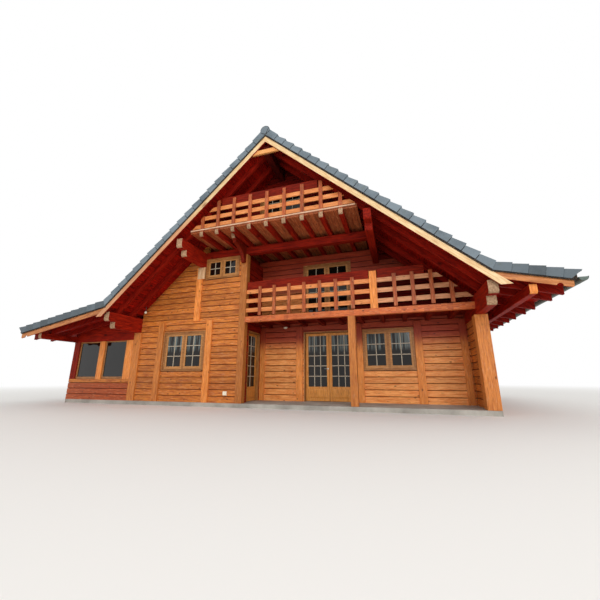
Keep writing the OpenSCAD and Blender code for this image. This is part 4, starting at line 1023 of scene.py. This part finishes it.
def smallFittings():
    x, y, z = fittings["cover"]
    half = fittings["coverSize"] / 2
    covers = [bars([[x - half, y, z], [x + half, y, z]], 2 * half, fittings["coverDeep"], (0, -1, 0), 0.012)]
    # lamps: circles of changing radius up a stem, the widest in the middle of the globe
    turn = np.linspace(0, 2 * math.pi, 17)[:-1]
    def turned(x, y, profile):
        return lofts([[np.stack([x + r * np.cos(turn), y + r * np.sin(turn), np.full(16, z)], 1)
                       for r, z in profile]])
    x, y, z = fittings["hanging"]
    globe = fittings["globe"]
    lean = np.linspace(-0.45, 0.45, 9) * math.pi
    covers.append(turned(x, y, [(globe * math.cos(a), z + globe * math.sin(a)) for a in lean]))
    top = fittings["stemTop"]
    stems = [turned(x, y, [(0.016, z + 0.044), (0.016, z + 0.07), (0.006, z + 0.075), (0.006, top)])]
    x, y, z = fittings["ceiling"]
    covers.append(turned(x, y, [(0.045, z - 0.045), (0.062, z - 0.03), (0.065, z - 0.012), (0.065, z)]))
    newPiece("opalCovers", covers, [opal], smooth=True)
    newPiece("lampStem", stems, [gutterSheet], smooth=True)
    x0, x1, z0, z1 = fittings["shutter"]
    wide = (x1 - x0) / 3
    boarding = [[[x0 + wide * (i + 0.5), fittings["shutterY"], z] for z in (z0, z1)] for i in range(3)]
    newPiece("openShutter", [bars(boarding, wide - 0.003, fittings["shutterThick"], (0, 1, 0), 0.003)], [paleZ])


smallFittings()
print("fittings placed")

# CAD nodes that keep their own meshes
kept = {"floor_slab": concrete, "first_floor": floorY, "rafters_left": rafterLeft, "rafters_right": rafterRight,
        "annex_glass": clearPanes, "window_glass": glazing, "french_glass_left": glazing,
        "french_glass_right": glazing, "side_door_glass": glazing, "door_handle": steel}
for node, finish in kept.items():
    mesh = frame["nodes"][node].data
    mesh.materials.clear()
    mesh.materials.append(finish)

# Studio: a pale floor that fades into an even white surround, and a wide soft key from the front right
stage = {"floor": "#F3F1ED", "fadeFrom": 12.0, "fadeTo": 42.0, "reach": 90, "around": 0.8, "keyPower": 2050.0,
         "keySize": 14.0, "keyAt": (10, -25, 10.5), "keyAim": (-0.5, -3.0, 3.0)}


def rayMask(add):
    # 1 for what the camera, a reflection or a pane shows directly, 0 for light that falls on the house
    camera, mirror, pane = (add("LightPath", out=f"Is {ray} Ray") for ray in ("Camera", "Glossy", "Transmission"))
    seen = add("Math", {"operation": "MAXIMUM"}, {0: camera, 1: mirror})
    return add("Math", {"operation": "MAXIMUM"}, {0: seen, 1: pane})


reach = stage["reach"]
mesh = bpy.data.meshes.new("studioFloor")
mesh.from_pydata([(-reach, -reach, 0), (reach, -reach, 0), (reach, reach, 0), (-reach, reach, 0)], [],
                 [[0, 1, 2, 3]])
floor = newObject("studioFloor", mesh)
floorFinish, add, shader = newFinish("matStudioFloor")
output = shader.outputs[0].links[0].to_node
add(shader, {"Base Color": stage["floor"], "Roughness": 0.9})
# the distance from the house, turned into how far the floor has faded to white
away = add("VectorMath", {"operation": "LENGTH"}, {0: add("TexCoord", out="Object")}, "Value")
fade = add("MapRange", {"interpolation_type": "SMOOTHSTEP", "From Min": stage["fadeFrom"],
                        "From Max": stage["fadeTo"]}, {"Value": away})
part = add("Math", {"operation": "MULTIPLY"}, {0: fade, 1: rayMask(add)})
white = add("Emission", {"Color": (1, 1, 1, 1), "Strength": 1.0})
mixed = add("MixShader", links={0: part, 1: shader.outputs[0], 2: white})
add(output, links={"Surface": mixed})
mesh.materials.append(floorFinish)

key = bpy.data.lights.new("softKey", "AREA")
key.shape = "SQUARE"
key.size = stage["keySize"]
key.energy = stage["keyPower"]
keyLamp = newObject("softKey", key)
keyLamp.location = stage["keyAt"]
aim = np.subtract(stage["keyAim"], stage["keyAt"])
keyLamp.rotation_euler = (math.atan2(math.hypot(aim[0], aim[1]), -aim[2]), 0,
                          math.atan2(aim[1], aim[0]) - math.pi / 2)

world = bpy.data.worlds.new("studioSurround")
world.use_nodes = True
bpy.context.scene.world = world
world.node_tree.nodes.clear()
add = partial(addNode, world.node_tree)
strength = add("MapRange", {"To Min": stage["around"], "To Max": 1.0}, {"Value": rayMask(add)})
glow = add("Background", {"Color": (1, 1, 1, 1)}, {"Strength": strength})
add("OutputWorld", links={"Surface": glow})

# The photograph's camera: focal length in pixels over the picture's width, tilted up and turned to the left
view = {"focalPx": 304.32, "widthPx": 600, "sensorMm": 36.0, "at": (3.3685, -12.8912, 0.843), "tiltUp": 14.416,
        "turnLeft": 17.955}
camera = bpy.data.cameras.new("view")
camera.sensor_width = view["sensorMm"]
camera.lens = view["focalPx"] / view["widthPx"] * view["sensorMm"]
camera.clip_end = 300
cameraObject = newObject("view", camera)
cameraObject.location = view["at"]
cameraObject.rotation_euler = (math.radians(90 + view["tiltUp"]), 0, math.radians(view["turnLeft"]))
bpy.context.scene.camera = cameraObject
bpy.context.scene.view_settings.view_transform = "Standard"
print("studio set")
